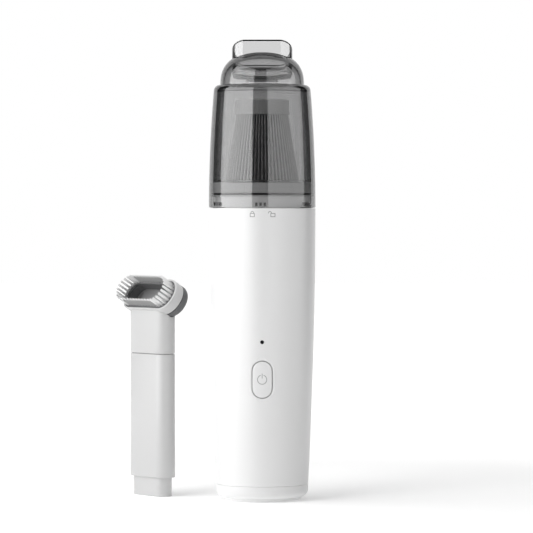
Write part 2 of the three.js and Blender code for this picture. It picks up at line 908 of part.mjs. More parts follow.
const motorDamper = (isTop) =>
  ring(
    motorRadius + clearance,
    motorRadius + clearance + damperThickness,
    damperLevel(isTop),
    damperLevel(isTop) + damperHeight,
    innerSegments,
  );

// One half of the chassis: a half tube with ribs, screw bosses and openings. side is -1 in front, 1 behind.
function chassisHalf(side) {
  const shell = ring(
    chassisRadius - chassisWall,
    chassisRadius,
    chassisBottom,
    chassisTop,
    innerSegments,
  );
  const rib = (bottom, hole) =>
    ring(hole, chassisRadius - clearance, bottom, bottom + ribThickness, innerSegments);
  const motorHole = motorRadius + clearance + damperThickness + clearance;
  const damperMiddle = (damperHeight - ribThickness) / 2;
  const ribs = [
    disc(chassisRadius - clearance, chassisBottom, chassisBottom + ribThickness, innerSegments),
    rib(cellTop + cellTipHeight + stripThickness + 3 * clearance, cellRadius),
    rib(damperLevel(false) + damperMiddle, motorHole),
    rib(damperLevel(true) + damperMiddle, motorHole),
  ];
  const bosses = bossPlaces().map(([x, z]) => rodAlongY(bossRadius, x, -bossLength, bossLength, z));
  const full = join(shell, ...ribs, ...bosses);
  const near = side < 0 ? -cutterSize : clearance / 2;
  const far = side < 0 ? -clearance / 2 : cutterSize;
  const half = common(
    full,
    box([-cutterSize, near, 0], [cutterSize, far, cutterSize + chassisTop]),
  );
  return cut(half, ...screwBores(), ...(side < 0 ? frontOpenings() : rearOpenings()));
}

const bossPlaces = () =>
  [-1, 1].flatMap((sx) =>
    [0, 1].map((level) => [sx * bossOffset, rearBossLevel + level * bossSpacing]),
  );

function screwBores() {
  const head = bossLength - screwHeadHeight - clearance;
  const along = bossPlaces().flatMap(([x, z]) => [
    rodAlongY(screwRadius + clearance, x, -bossLength + clearance, bossLength, z),
    rodAlongY(screwHeadRadius + clearance, x, head, chassisRadius, z),
  ]);
  const upright = [-1, 1].map((side) =>
    disc(
      screwRadius + clearance,
      chassisBottom - overrun,
      chassisBottom + ribThickness + overrun,
      smallSegments,
    ).translate(0, side * capScrewOffset, 0),
  );
  return [...along, ...upright];
}

// Room in the front half for the button, the light pipe and the board.
function frontOpenings() {
  const wide = buttonWidth / 2 + buttonFlangeLip + 2 * clearance;
  const tall = buttonHeight / 2 + buttonFlangeLip + 2 * clearance;
  const board = boardWidth / 2 + clearance;
  return [
    box([-wide, -cutterSize, buttonLevel - tall], [wide, boardFront, buttonLevel + tall]),
    rodAlongY(lightPipeRadius + 2 * clearance, 0, -chassisRadius, 0, lightPipeLevel),
    box(
      [-board, boardFront - clearance, cellBottom - clearance],
      [board, boardBack + clearance, boardTop + clearance],
    ),
  ];
}

// Room in the rear half for the charging socket and the exhaust.
function rearOpenings() {
  const wide = chargeBoardWidth / 2 + clearance;
  const low = socketLevel - socketHeight / 2 - chargeBoardThickness - 2 * clearance;
  const exhaust = exhaustSpan / 2;
  return [
    box(
      [-wide, chargeBoardBack() - chargeBoardDepth - clearance, low],
      [wide, chassisRadius + overrun, socketLevel + socketHeight / 2 + clearance],
    ),
    box(
      [-exhaustSlotWidth / 2, 0, exhaustMiddle - exhaust],
      [exhaustSlotWidth / 2, chassisRadius + overrun, exhaustMiddle + exhaust],
    ),
  ];
}

// A screw pointing along -Y, with its head at y = 0.
function screwAlongY(length) {
  return join(
    rodAlongY(screwRadius, 0, -length, 0, 0),
    rodAlongY(screwHeadRadius, 0, -screwHeadHeight, 0, 0),
  );
}

// A screw pointing up, with its head on z = 0.
function screwUp(length) {
  return join(
    disc(screwRadius, 0, length, smallSegments),
    disc(screwHeadRadius, 0, screwHeadHeight, smallSegments),
  );
}

// A battery cell with its raised tip.
const batteryCell = () =>
  join(
    disc(cellRadius, 0, cellLength, innerSegments),
    disc(cellTipRadius, 0, cellLength + cellTipHeight, smallSegments),
  );

const controlBoard = () =>
  box([-boardWidth / 2, boardFront, cellBottom], [boardWidth / 2, boardBack, boardTop]);

function buttonSwitch() {
  const back = boardFront - clearance;
  const front = back - switchDepth;
  const half = switchSize / 2;
  return join(
    box([-half, front, buttonLevel - half], [half, back, buttonLevel + half]),
    rodAlongY(plungerRadius, 0, front - plungerLength, front + clearance, buttonLevel),
  );
}

// Charging socket: a round-ended sleeve with a tongue, open towards the back.
function chargeSocket() {
  const sleeve = roundedBlock(socketWidth, socketHeight, socketHeight / 2 - socketWall, 0, socketDepth);
  const mouth = roundedBlock(
    socketWidth - 2 * socketWall,
    socketHeight - 2 * socketWall,
    socketHeight / 2 - 2 * socketWall,
    socketWall,
    socketDepth + overrun,
  );
  const tongue = roundedBlock(
    socketWidth - socketHeight,
    2 * socketWall,
    socketWall / 2,
    0,
    socketDepth - socketHeight / 2,
  );
  return join(cut(sleeve, mouth), tongue).rotateX(-Math.PI / 2);
}

// The charging board's back corners stop short of the shell's curved wall.
function chargeBoardBack() {
  const inner = bodyRadius(socketLevel) - bodyWall;
  return Math.sqrt(inner ** 2 - (chargeBoardWidth / 2) ** 2) - 2 * clearance;
}

// Charging board: it lies under the socket and carries it.
const chargeBoard = () =>
  box(
    [-chargeBoardWidth / 2, chargeBoardBack() - chargeBoardDepth, 0],
    [chargeBoardWidth / 2, chargeBoardBack(), chargeBoardThickness],
  );

// Exhaust foam: a curved pad against the inside of the shell, behind the slots.
function exhaustFoam() {
  const low = exhaustMiddle - exhaustSpan / 2 - foamMargin;
  const high = exhaustMiddle + exhaustSpan / 2 + foamMargin;
  const levels = spaced(low, high, 2);
  const outer = (z) => bodyRadius(z) - bodyWall - clearance;
  const band = revolve([
    ...levels.map((z) => [outer(z), z]),
    ...levels.map((z) => [outer(z) - foamThickness, z]).reverse(),
  ]);
  const half = exhaustSlotWidth / 2 + foamMargin;
  return common(band, box([-half, 0, low - overrun], [half, cutterSize, high + overrun]));
}

// The cleaner's body
piece(cleaner, "foot_pad", footPad(), padRubber);
piece(cleaner, "bottom_cap", bottomCap(), whitePlastic, 0, 0, capUnder);
piece(cleaner, "body_shell", bodyShell(), whitePlastic);
piece(cleaner, "power_button", powerButton(), whitePlastic);
piece(cleaner, "led_light_pipe", lightPipe(), lensDark);
piece(cleaner, "neck_collar", neckCollar(), whitePlastic);
piece(cleaner, "neck_seal", neckSeal(), blackRubber);

// Fan, motor and chassis
piece(cleaner, "fan_gasket", fanGasket(), foam);
piece(cleaner, "fan_cover", fanCover(), innerPlastic);
piece(cleaner, "fan_housing", fanHousing(), innerPlastic);
piece(cleaner, "fan_impeller", fanImpeller(), darkPlastic);
piece(cleaner, "motor_shaft", motorShaft(), steel);
piece(cleaner, "motor_can", motorCan(), steel);
piece(cleaner, "motor_damper_top", motorDamper(true), blackRubber);
piece(cleaner, "motor_damper_bottom", motorDamper(false), blackRubber);
piece(cleaner, "chassis_front", chassisHalf(-1), innerPlastic);
piece(cleaner, "chassis_rear", chassisHalf(1), innerPlastic);
bossPlaces().forEach(([x, z], i) => {
  piece(cleaner, `chassis_screw_${i + 1}`, screwAlongY(screwLength), steel, x, bossLength, z);
});
const capScrewLevel = capUnder + padInset + 2 * clearance;
piece(cleaner, "cap_screw_front", screwUp(capScrewLength), steel, 0, -capScrewOffset, capScrewLevel);
piece(cleaner, "cap_screw_rear", screwUp(capScrewLength), steel, 0, capScrewOffset, capScrewLevel);

// Batteries and boards
piece(cleaner, "battery_cell_left", batteryCell(), cellWrap, -cellOffset, cellSetback, cellBottom);
piece(cleaner, "battery_cell_right", batteryCell(), cellWrap, cellOffset, cellSetback, cellBottom);
piece(
  cleaner,
  "battery_strip",
  roundedBlock(cellSpan + stripWidth, stripWidth, stripWidth / 2 - clearance, 0, stripThickness),
  nickel,
  0,
  cellSetback,
  cellTop + cellTipHeight + clearance,
);
piece(cleaner, "control_board", controlBoard(), boardGreen);
piece(cleaner, "button_switch", buttonSwitch(), blackRubber);
const socketMouth = bodyRadius(socketLevel) - bodyWall / 2;
piece(cleaner, "charge_socket", chargeSocket(), steel, 0, socketMouth - socketDepth, socketLevel);
piece(
  cleaner,
  "charge_board",
  chargeBoard(),
  boardGreen,
  0,
  0,
  socketLevel - socketHeight / 2 - clearance - chargeBoardThickness,
);
piece(cleaner, "exhaust_foam", exhaustFoam(), foam);

// Dust cup, measured up from its lower edge
const dustCup = new THREE.Group();
dustCup.position.z = cupBottom;
cleaner.add(dustCup);
piece(dustCup, "dust_cup_shell", dustCupShell(), smokedPlastic);
piece(dustCup, "dust_cup_liner", dustCupLiner(), smokedPlastic);
piece(dustCup, "intake_nozzle", intakeNozzle(), clearPlastic);
piece(dustCup, "dust_flap", dustFlap(), blackRubber);
piece(dustCup, "flap_pin", flapPin(), steel);

// Filter
piece(cleaner, "filter_base_ring", filterBaseRing(), filterFrame, 0, 0, filterBottom);
piece(cleaner, "filter_media", filterMedia(), filterPaper, 0, 0, mediaBottom);
piece(cleaner, "filter_top_cap", filterTopCap(), filterFrame, 0, 0, mediaTop + clearance);

// Brush tool, in its own frame: the tongue stands on z = 0 and the brush looks towards -Y.
const tool = new THREE.Group();
tool.position.set(-toolLeft, toolBack, 0);
tool.rotation.z = -radians(toolTurnDegrees);
cleaner.add(tool);

const flatOval = (width, depth, inset, bottom, top) =>
  roundedBlock(
    width - 2 * inset,
    depth - 2 * inset,
    Math.min(tubeCorner, depth / 2 - clearance) - inset,
    bottom,
    top,
  );

// Extension tube: a flat oval tube with a narrower tongue below and an open socket above.
function extensionTube() {
  const top = tongueLength + tubeLength;
  const tube = cut(
    flatOval(tubeWidth, tubeDepth, 0, tongueLength, top),
    flatOval(tubeWidth, tubeDepth, tubeWall, tongueLength + tubeWall, top + overrun),
  );
  const tongue = flatOval(tongueWidth, tongueDepth, 0, 0, tongueLength + tubeWall / 2);
  const passage = flatOval(tongueWidth, tongueDepth, tongueWall, -overrun, top + overrun);
  return cut(join(tube, tongue), passage);
}

// The head is drawn with z out of its mouth, x along the mouth and y up it, then tilted into place.
const seamLevel = tongueLength + tubeLength + seam;
const headLevel = seamLevel + headAboveSeam;
const headToTool = (geometry) =>
  geometry.rotateX(Math.PI / 2 - radians(headTiltDegrees)).translate(0, -headReach, headLevel);

const headOval = (inset, bottom, top) =>
  roundedBlock(
    mouthLength - 2 * inset,
    mouthWidth - 2 * inset,
    mouthWidth / 2 - inset,
    bottom,
    top,
  );

// The bowl's outline: an oval block whose back edge is rounded in steps.
function bowlBlank(inset, top) {
  const steps = spaced(0, 90, bowlSteps).map(radians);
  const back = -collarDepth - bowlDepth + Math.max(inset, -clearance);
  const slices = steps.slice(1).map((a, i) => {
    const drawnIn = inset + bowlRound * (1 - Math.sin((steps[i] + a) / 2));
    return headOval(drawnIn, back + bowlRound * (1 - Math.cos(steps[i])), top);
  });
  return headToTool(join(...slices));
}

// The air's way from the head's mouth down into the tube.
const airPassage = () =>
  flatOval(tongueWidth, tongueDepth, tongueWall, seamLevel - plugLength - overrun, headLevel - collarDepth);

// Neck: a flat oval stem with the head's collar, and the plug that fits the tube's socket.
function brushNeck() {
  const stem = cut(
    flatOval(tubeWidth, tubeDepth, 0, seamLevel, headLevel),
    bowlBlank(-clearance, -collarDepth + clearance),
    headToTool(headOval(-overrun, 0, cutterSize)),
  );
  const plug = flatOval(
    tubeWidth,
    tubeDepth,
    tubeWall + clearance,
    seamLevel - plugLength,
    seamLevel + overrun,
  );
  const collar = headToTool(headOval(0, -collarDepth, 0));
  const ledge = rimWall + clearance + backingLedge;
  return cut(
    join(stem, plug, collar),
    airPassage(),
    headToTool(headOval(ledge, -collarDepth - overrun, overrun)),
    headToTool(headOval(rimWall, -backingDepth - clearance, overrun)),
  );
}

// Bowl: the closed back of the head, open towards the collar and down into the neck.
const brushBowl = () =>
  cut(bowlBlank(0, -collarDepth - clearance), bowlBlank(bowlWall, overrun), airPassage());

// A slice of the brush's backing with its tufts standing on it. Places are [x, y] on the backing.
function bristles(backing, places) {
  const around = Array.from({ length: strandsAround }, (_, i) => (2 * Math.PI * i) / strandsAround);
  const spots = places.flatMap(([x, y]) => [
    [x, y],
    ...around.map((a) => [x + strandSpacing * Math.cos(a), y + strandSpacing * Math.sin(a)]),
  ]);
  const strands = spots.map(([x, y]) => strand().translate(x, y, 0));
  return headToTool(join(backing, ...strands));
}

// A strand of three sides, rooted in the middle of the backing.
function strand() {
  const corner = (i) => {
    const a = (2 * Math.PI * i) / strandSides;
    return new THREE.Vector2(strandRadius * Math.cos(a), strandRadius * Math.sin(a));
  };
  const corners = Array.from({ length: strandSides }, (_, i) => corner(i));
  return extrude(new THREE.Shape(corners), -backingDepth / 2, strandLength);
}

const backingOuter = mouthWidth / 2 - rimWall - clearance;
const backingMiddle = backingOuter - backingWidth / 2;
const mouthStraight = mouthLength - mouthWidth;

// side is 1 above the mouth's middle and -1 below it.
function straightBristles(side) {
  const half = mouthStraight / 2 - clearance / 2;
  const [near, far] = [backingOuter - backingWidth, backingOuter].map((y) => side * y);
  const backing = box(
    [-half, Math.min(near, far), -backingDepth],
    [half, Math.max(near, far), 0],
  );
  const places = Array.from({ length: straightTufts }, (_, i) => [
    mouthStraight * ((i + 0.5) / straightTufts - 0.5),
    side * backingMiddle,
  ]);
  return bristles(backing, places);
}

// side is 1 at the mouth's right end and -1 at its left end.
function arcBristles(side) {
  const start = side > 0 ? -90 : 90;
  const centre = side * (mouthStraight / 2);
  const backing = arcBlock(
    backingOuter - backingWidth,
    backingOuter,
    start,
    start + 180,
    -backingDepth,
    0,
    cornerSegments,
  ).translate(centre + side * clearance / 2, 0, 0);
  const places = Array.from({ length: arcTufts }, (_, i) => {
    const a = radians(start + (180 * (i + 0.5)) / arcTufts);
    return [centre + backingMiddle * Math.cos(a), backingMiddle * Math.sin(a)];
  });
  return bristles(backing, places);
}

piece(tool, "extension_tube", extensionTube(), toolPlastic);
piece(tool, "brush_neck", brushNeck(), toolPlastic);
piece(tool, "brush_bowl", brushBowl(), darkPlastic);
piece(tool, "bristles_upper", straightBristles(1), bristleNylon);
piece(tool, "bristles_lower", straightBristles(-1), bristleNylon);
piece(tool, "bristles_right", arcBristles(1), bristleNylon);
piece(tool, "bristles_left", arcBristles(-1), bristleNylon);

export default cleaner;
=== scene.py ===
# %% [markdown]
# # A handheld vacuum cleaner and its brush tool
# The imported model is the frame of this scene. Its solids already sit in the right places and move with
# their bodies, so every piece made here takes its size and place from them. Lengths are in metres, and
# mm turns a size in millimetres into metres.

import math

import bmesh
import bpy
from mathutils import Matrix, Vector


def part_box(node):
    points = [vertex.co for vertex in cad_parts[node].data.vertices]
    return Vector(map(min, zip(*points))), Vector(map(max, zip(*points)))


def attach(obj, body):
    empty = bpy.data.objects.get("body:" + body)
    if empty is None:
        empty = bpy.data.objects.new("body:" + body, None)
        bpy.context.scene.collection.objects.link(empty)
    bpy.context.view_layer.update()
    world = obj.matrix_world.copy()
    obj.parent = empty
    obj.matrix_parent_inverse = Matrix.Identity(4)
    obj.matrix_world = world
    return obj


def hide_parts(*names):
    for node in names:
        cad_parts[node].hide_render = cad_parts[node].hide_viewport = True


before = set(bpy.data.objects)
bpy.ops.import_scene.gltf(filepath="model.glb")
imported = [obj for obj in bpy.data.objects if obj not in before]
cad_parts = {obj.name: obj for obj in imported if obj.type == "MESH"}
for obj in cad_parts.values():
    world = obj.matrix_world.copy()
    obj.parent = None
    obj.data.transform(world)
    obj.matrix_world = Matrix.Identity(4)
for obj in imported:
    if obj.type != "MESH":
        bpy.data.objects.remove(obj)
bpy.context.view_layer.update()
mm = 0.001
print("nodes in the frame:", len(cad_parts))

# %% [markdown]
# ## Camera
# The photograph looks almost level at the cleaner from far away, so the camera has a long lens. The eye is
# at the height of the dust cup's lower edge, where the cup's rim shows as a straight line.

# %% Camera
camera_distance = 2080 * mm
eye_height = 189 * mm
aim_height = 151.5 * mm
aim_side = 2.8 * mm
view_width = 346.5 * mm
sensor_width = 36

bpy.ops.object.camera_add(location=(aim_side, -camera_distance, eye_height))
camera = bpy.context.object
camera.name = "camera"
camera.data.sensor_width = sensor_width
camera.data.lens = sensor_width * camera_distance / view_width
aim = Vector((aim_side, 0, aim_height)) - camera.location
camera.rotation_euler = aim.to_track_quat("-Z", "Y").to_euler()
camera.data.clip_start = 0.05
camera.data.clip_end = 50
bpy.context.scene.camera = camera
bpy.context.scene.view_settings.view_transform = "Standard"
print("lens:", round(camera.data.lens, 1), "mm")

# %% [markdown]
# ## Node trees
# The floor, the world, the lamps and every finish are node trees. One helper adds a node and feeds its
# sockets, so that each finish reads as a short list of what goes into what.

# %% Helpers for node trees
def add(tree, kind, *values, settings=None, **named):
    """Adds a node and feeds its sockets, in order or by name, with values or with other nodes' outputs."""
    node = tree.nodes.new("ShaderNode" + kind)
    for name, value in (settings or {}).items():
        setattr(node, name, value)
    by_name = ((name.replace("_", " "), value) for name, value in named.items())
    for key, value in (*enumerate(values), *by_name):
        if isinstance(value, bpy.types.Node):
            value = value.outputs[0]
        if isinstance(value, bpy.types.NodeSocket):
            tree.links.new(value, node.inputs[key])
        else:
            node.inputs[key].default_value = value
    return node


def math_node(tree, operation, *values, clamp=False):
    """The result of a sum or product, or of another of the Math node's operations."""
    return add(tree, "Math", *values, settings={"operation": operation, "use_clamp": clamp}).outputs[0]


def map_range(tree, value, from_low, from_high, to_low, to_high):
    """A value carried over from one span into another."""
    spans = {"From Min": from_low, "From Max": from_high, "To Min": to_low, "To Max": to_high}
    return add(tree, "MapRange", Value=value, **spans).outputs[0]


def object_place(tree):
    """The place of each point in the object's own coordinates."""
    return add(tree, "TexCoord").outputs["Object"]


def length_of(tree, vector):
    """The length of a vector."""
    return add(tree, "VectorMath", vector, settings={"operation": "LENGTH"}).outputs["Value"]


def new_material(name, colour=(1, 1, 1, 1)):
    """A material with an empty node tree, and the colour shown in the viewport."""
    material = bpy.data.materials.new(name)
    material.use_nodes = True
    material.diffuse_color = colour
    material.node_tree.nodes.clear()
    return material, material.node_tree


print("the helpers for node trees are ready")

# %% [markdown]
# ## Floor, world and lamps
# The photograph has a white studio table that runs into a white background. The table is matt, and what the
# camera sees of it has a glow added on top, so that it comes out white and still keeps a soft shadow. The
# world is white where the camera, glass or gloss sees it, and dim where it lights the object. What a ray
# finds after it has been mirrored inside clear plastic is darker, as between black flags in a studio: that
# is what draws the dark outlines on glass.

# %% What a ray sees of the studio
edge_darkness = 0.62
looking = ("Is Camera Ray", "Is Glossy Ray", "Is Transmission Ray")


def light_path_mask(tree, kinds):
    """1 where the ray is of any of the named kinds, and 0 elsewhere."""
    path = add(tree, "LightPath")
    mask = path.outputs[kinds[0]]
    for kind in kinds[1:]:
        mask = math_node(tree, "MAXIMUM", mask, path.outputs[kind])
    return mask


def mirrored_inside(tree):
    """How much darker a ray finds the studio that was mirrored before it last went through clear plastic."""
    path = add(tree, "LightPath").outputs
    mirrored = math_node(tree, "MULTIPLY", path["Glossy Depth"], path["Is Transmission Ray"], clamp=True)
    return math_node(tree, "MULTIPLY", mirrored, edge_darkness)


print("kinds of ray that see the studio white:", len(looking))

# %% [markdown]
# The table is one large plane of white paper. Its glow grows with the distance from the object, so that the
# paper near the foot keeps its shadow and the far paper melts into the background.

# %% Floor
def start_clean():
    """Nothing is selected, so that an operator only acts on the new piece."""
    bpy.ops.object.select_all(action="DESELECT")


floor_size = 12
floor_glow_near = 0.28
floor_glow_far = 1.0
glow_starts = 0.30
glow_full = 1.1
floor_bounce = 0.4
floor_colour = (0.80, 0.80, 0.80, 1)
floor_roughness = 0.9
floor_gloss = 0.1


def floor_finish():
    """Matt white paper. What the camera, gloss and glass see of it glows more with distance."""
    material, tree = new_material("white_table")
    paper = add(
        tree,
        "BsdfPrincipled",
        Base_Color=floor_colour,
        Roughness=floor_roughness,
        Specular_IOR_Level=floor_gloss,
    )
    distance = length_of(tree, object_place(tree))
    grow = map_range(tree, distance, glow_starts, glow_full, floor_glow_near, floor_glow_far)
    glow = add(tree, "Emission", Strength=grow)
    bounce = add(tree, "Emission", Strength=floor_bounce)
    added = add(tree, "MixShader", light_path_mask(tree, looking), bounce, glow)
    both = add(tree, "AddShader", paper, added)
    black = add(tree, "Emission", Strength=0)
    add(tree, "OutputMaterial", Surface=add(tree, "MixShader", mirrored_inside(tree), both, black))
    return material


start_clean()
bpy.ops.mesh.primitive_plane_add(size=floor_size, location=(0, 0, 0))
floor = bpy.context.object
floor.name = "floor"
floor.data.materials.append(floor_finish())
print("floor is", floor_size, "m wide")

# %% [markdown]
# The world has two backgrounds. Rays that look at it find it white, less what was mirrored inside clear
# plastic, and rays that only gather light find a dim fill.

# %% World
world_fill = 0.08
pure_white = (1, 1, 1, 1)

world = bpy.data.worlds.new("studio")
bpy.context.scene.world = world
world.use_nodes = True
studio = world.node_tree
studio.nodes.clear()
left_over = math_node(studio, "SUBTRACT", 1, mirrored_inside(studio))
seen_world = add(studio, "Background", Color=pure_white, Strength=left_over)
fill = add(studio, "Background", Color=pure_white, Strength=world_fill)
choose_world = add(studio, "MixShader", light_path_mask(studio, looking), fill, seen_world)
add(studio, "OutputWorld", Surface=choose_world)
print("floor and world are ready")

# %% [markdown]
# The cup shows what the studio is like: a bright box stands at the left and a card at the right. Black flags
# hang in the gap between them and beyond both, and draw the dark strip down the middle of the cup and the
# dark lines along its sides. A round cup turns what it mirrors at twice the angle of its own surface, which
# gives the angles that these reach to. They are only there for gloss. The barrel is lit by three lamps that
# gloss doesn't see: one at the left, a high one in front of it, which throws the shadow back to the right,
# and one overhead.

# %% Places of the lamps
softbox_reach = 1400 * mm
softbox_height = 1500 * mm
left_card_angles = (-22, -100)
left_card_glow = 3.6
right_card_angles = (13, 102)
right_card_glow = 1.5
key_angles = (-52, -112)
key_glow = 1.66
high_box_place = Vector((-1000 * mm, -1250 * mm, 1700 * mm))
high_box_size = 900 * mm
high_box_glow = 6
top_box_place = Vector((-250 * mm, 0, 1900 * mm))
top_box_facing = Vector((0.1, 0, -1))
top_box_size = 1600 * mm
top_box_glow = 2.8
glow_per_watt = 1 / math.pi


def on_circle(degrees, height):
    """A point round the object, where 0 is towards the camera and 90 is to the right."""
    angle = math.radians(degrees)
    return Vector((softbox_reach * math.sin(angle), -softbox_reach * math.cos(angle), height))


def stand_across(angles):
    """The middle, width and facing of something tall that stands across the angles and faces the object."""
    near, far = (on_circle(a, softbox_height / 2) for a in angles)
    place = (near + far) / 2
    facing = (far - near).cross(Vector((0, 0, 1)))
    if facing.dot(place) > 0:
        facing = -facing
    return place, (far - near).length, facing


print("the cards stand", round(softbox_reach / mm), "mm from the object")

# %% [markdown]
# A lamp's power follows from its size and its brightness, so that each can be tuned as a share of white.
# Cards are seen by gloss and glass alone, and the lamps that light the barrel are hidden from both.

# %% Lamps
def area_lamp(name, place, width, height, glow, facing):
    """A rectangular lamp whose surface has the given brightness, where 1 is white."""
    bpy.ops.object.light_add(type="AREA", location=place)
    lamp = bpy.context.object
    lamp.name = name
    lamp.data.shape = "RECTANGLE"
    lamp.data.size = width
    lamp.data.size_y = height
    lamp.data.energy = glow * width * height / glow_per_watt
    lamp.rotation_euler = facing.to_track_quat("-Z", "Y").to_euler()
    print(name, "is", round(width, 2), "m wide and takes", round(lamp.data.energy), "W")
    return lamp


def card(name, angles, glow):
    """A tall bright card that only gloss and glass see. Straight through clear plastic it is plain white."""
    place, width, facing = stand_across(angles)
    lamp = area_lamp(name, place, width, softbox_height, glow, facing)
    lamp.visible_diffuse = False
    lamp.data.use_nodes = True
    tree = lamp.data.node_tree
    path = add(tree, "LightPath").outputs
    mirrored = math_node(tree, "MINIMUM", path["Glossy Depth"], 1)
    straight = math_node(tree, "SUBTRACT", path["Is Transmission Ray"], mirrored)
    straight = math_node(tree, "MAXIMUM", straight, 0)
    strength = math_node(tree, "MULTIPLY_ADD", straight, 1 / glow - 1, 1)
    emission = next(node for node in tree.nodes if node.bl_idname == "ShaderNodeEmission")
    tree.links.new(strength, emission.inputs["Strength"])


def hidden_lamp(name, place, width, height, glow, facing):
    """A lamp that lights the object, and that gloss and glass don't show."""
    lamp = area_lamp(name, place, width, height, glow, facing)
    lamp.visible_glossy = False
    lamp.visible_transmission = False


card("left_card", left_card_angles, left_card_glow)
card("right_card", right_card_angles, right_card_glow)
key_place, key_width, key_facing = stand_across(key_angles)
hidden_lamp("key_softbox", key_place, key_width, softbox_height, key_glow, key_facing)
hidden_lamp("high_softbox", high_box_place, high_box_size, high_box_size, high_box_glow, -high_box_place)
hidden_lamp("top_softbox", top_box_place, top_box_size, top_box_size, top_box_glow, top_box_facing)

# %% [markdown]
# The flags are planes of black cloth. Only gloss sees them, so they take no light from the object and throw
# no shadow.

# %% Black flags
flag_angles = {
    "left_flag": (-101, -132),
    "front_flag": (-21, 12),
    "right_flag": (103, 132),
}
black = (0, 0, 0, 1)

flag_cloth, cloth_tree = new_material("black_cloth", black)
add(cloth_tree, "OutputMaterial", Surface=add(cloth_tree, "BsdfDiffuse", Color=black))
for flag_name, angles in flag_angles.items():
    place, width, facing = stand_across(angles)
    start_clean()
    bpy.ops.mesh.primitive_plane_add(size=1, location=place)
    flag = bpy.context.object
    flag.name = flag_name
    flag.scale = (width, softbox_height, 1)
    flag.rotation_euler = facing.to_track_quat("Z", "Y").to_euler()
    for ray in ("camera", "diffuse", "transmission", "shadow"):
        setattr(flag, f"visible_{ray}", False)
    flag.data.materials.append(flag_cloth)
print("flags hung:", len(flag_angles))

# %% [markdown]
# ## Effects that the finishes share
# Moulded plastic is never perfectly even. One node group gives a fine grain, slow waves in tone and soft
# smudges, and each finish mixes them in its own measure. The group only puts out values, so that every
# material keeps its own shader.

# %% Node group for moulded surfaces
grain_detail = 3
smudge_detail = 5

moulding = bpy.data.node_groups.new("moulded_surface", "ShaderNodeTree")
for socket_name, value in (
    ("Grain Size", 900),
    ("Grain", 0.5),
    ("Smudge Size", 30),
    ("Roughness", 0.35),
    ("Roughness Spread", 0.05),
    ("Tone Spread", 0.02),
):
    socket = moulding.interface.new_socket(name=socket_name, in_out="INPUT", socket_type="NodeSocketFloat")
    socket.default_value = value
for socket_name in ("Roughness", "Tone", "Height"):
    moulding.interface.new_socket(name=socket_name, in_out="OUTPUT", socket_type="NodeSocketFloat")
group_in = moulding.nodes.new("NodeGroupInput").outputs
group_out = moulding.nodes.new("NodeGroupOutput").inputs
place_on = object_place(moulding)


def group_noise(scale, detail):
    """Noise on the object's own coordinates, at the scale that a socket of the group gives."""
    return add(moulding, "TexNoise", Vector=place_on, Scale=group_in[scale], Detail=detail).outputs[0]


def around_value(noise, spread, middle):
    """Turns noise of 0 to 1 into a value that swings by the spread about a middle."""
    swing = math_node(moulding, "SUBTRACT", noise, 0.5)
    return math_node(moulding, "MULTIPLY_ADD", swing, group_in[spread], middle)


smudges = group_noise("Smudge Size", smudge_detail)
grain_height = math_node(moulding, "MULTIPLY", group_noise("Grain Size", grain_detail), group_in["Grain"])
for socket_name, value in (
    ("Roughness", around_value(smudges, "Roughness Spread", group_in["Roughness"])),
    ("Tone", around_value(smudges, "Tone Spread", 1)),
    ("Height", grain_height),
):
    moulding.links.new(value, group_out[socket_name])
print("moulded_surface has", len(moulding.nodes), "nodes")

# %% [markdown]
# ## Finishes
# Each finish is one Principled shader. The colour is multiplied by the group's tone, the roughness follows
# its smudges, and a Bump node turns the grain into a normal.

# %% Helper for solid finishes
multiply = {"data_type": "RGBA", "blend_type": "MULTIPLY"}
grain_strength = 0.25
grain_rise = 0.02 * mm


def solid_finish(name, colour, roughness, grain=0.4, grain_size=900, tone=0.03, smudge=0.06, metallic=0):
    """An opaque finish with fine grain."""
    rgba = (*colour, 1)
    material, tree = new_material(name, rgba)
    surface = add(
        tree,
        "Group",
        settings={"node_tree": moulding},
        Grain_Size=grain_size,
        Grain=grain,
        Roughness=roughness,
        Roughness_Spread=smudge,
        Tone_Spread=tone,
    ).outputs
    tint = add(tree, "Mix", settings=multiply, Factor=1, A=rgba, B=surface["Tone"])
    bump = add(tree, "Bump", Strength=grain_strength, Distance=grain_rise, Height=surface["Height"])
    shader = add(
        tree,
        "BsdfPrincipled",
        Base_Color=tint.outputs["Result"],
        Metallic=metallic,
        Roughness=surface["Roughness"],
        Normal=bump,
    )
    add(tree, "OutputMaterial", Surface=shader)
    return material


def grey(tone):
    """A neutral colour."""
    return (tone, tone, tone)


print("the grain stands", grain_rise / mm, "mm proud")

# %% [markdown]
# The outside is white moulded plastic, and the tool's plastic is a little greyer. The bowl of the brush, the
# filter's frame, the printing and the pieces inside the body have finishes of their own.

# %% Solid finishes
white_plastic = solid_finish("white_plastic", grey(0.80), 0.34, grain=0.3, tone=0.01)
pad_rubber = solid_finish("pad_rubber", grey(0.90), 0.75, grain=0.8, grain_size=500)
tool_plastic = solid_finish("tool_plastic", grey(0.55), 0.38, grain=0.5)
dark_plastic = solid_finish("dark_plastic", (0.105, 0.107, 0.11), 0.45, grain=0.6)
mouth_grey = solid_finish("mouth_grey", (0.46, 0.46, 0.465), 0.5, grain=0.6)
inner_plastic = solid_finish("inner_plastic", (0.05, 0.05, 0.055), 0.55, grain=0.8)
black_rubber = solid_finish("black_rubber", grey(0.015), 0.7, grain=0.9, grain_size=600)
filter_frame = solid_finish("filter_frame", grey(0.62), 0.5, grain=0.7)
foam_black = solid_finish("foam_black", (0.02, 0.02, 0.022), 0.95, grain=3, grain_size=1600, tone=0.5)
cell_wrap = solid_finish("cell_wrap", (0.03, 0.10, 0.22), 0.4, grain=0.2)
lens_dark = solid_finish("lens_dark", (0.01, 0.01, 0.012), 0.12, grain=0.05)
print_grey = solid_finish("print_grey", grey(0.26), 0.5, grain=0.2)
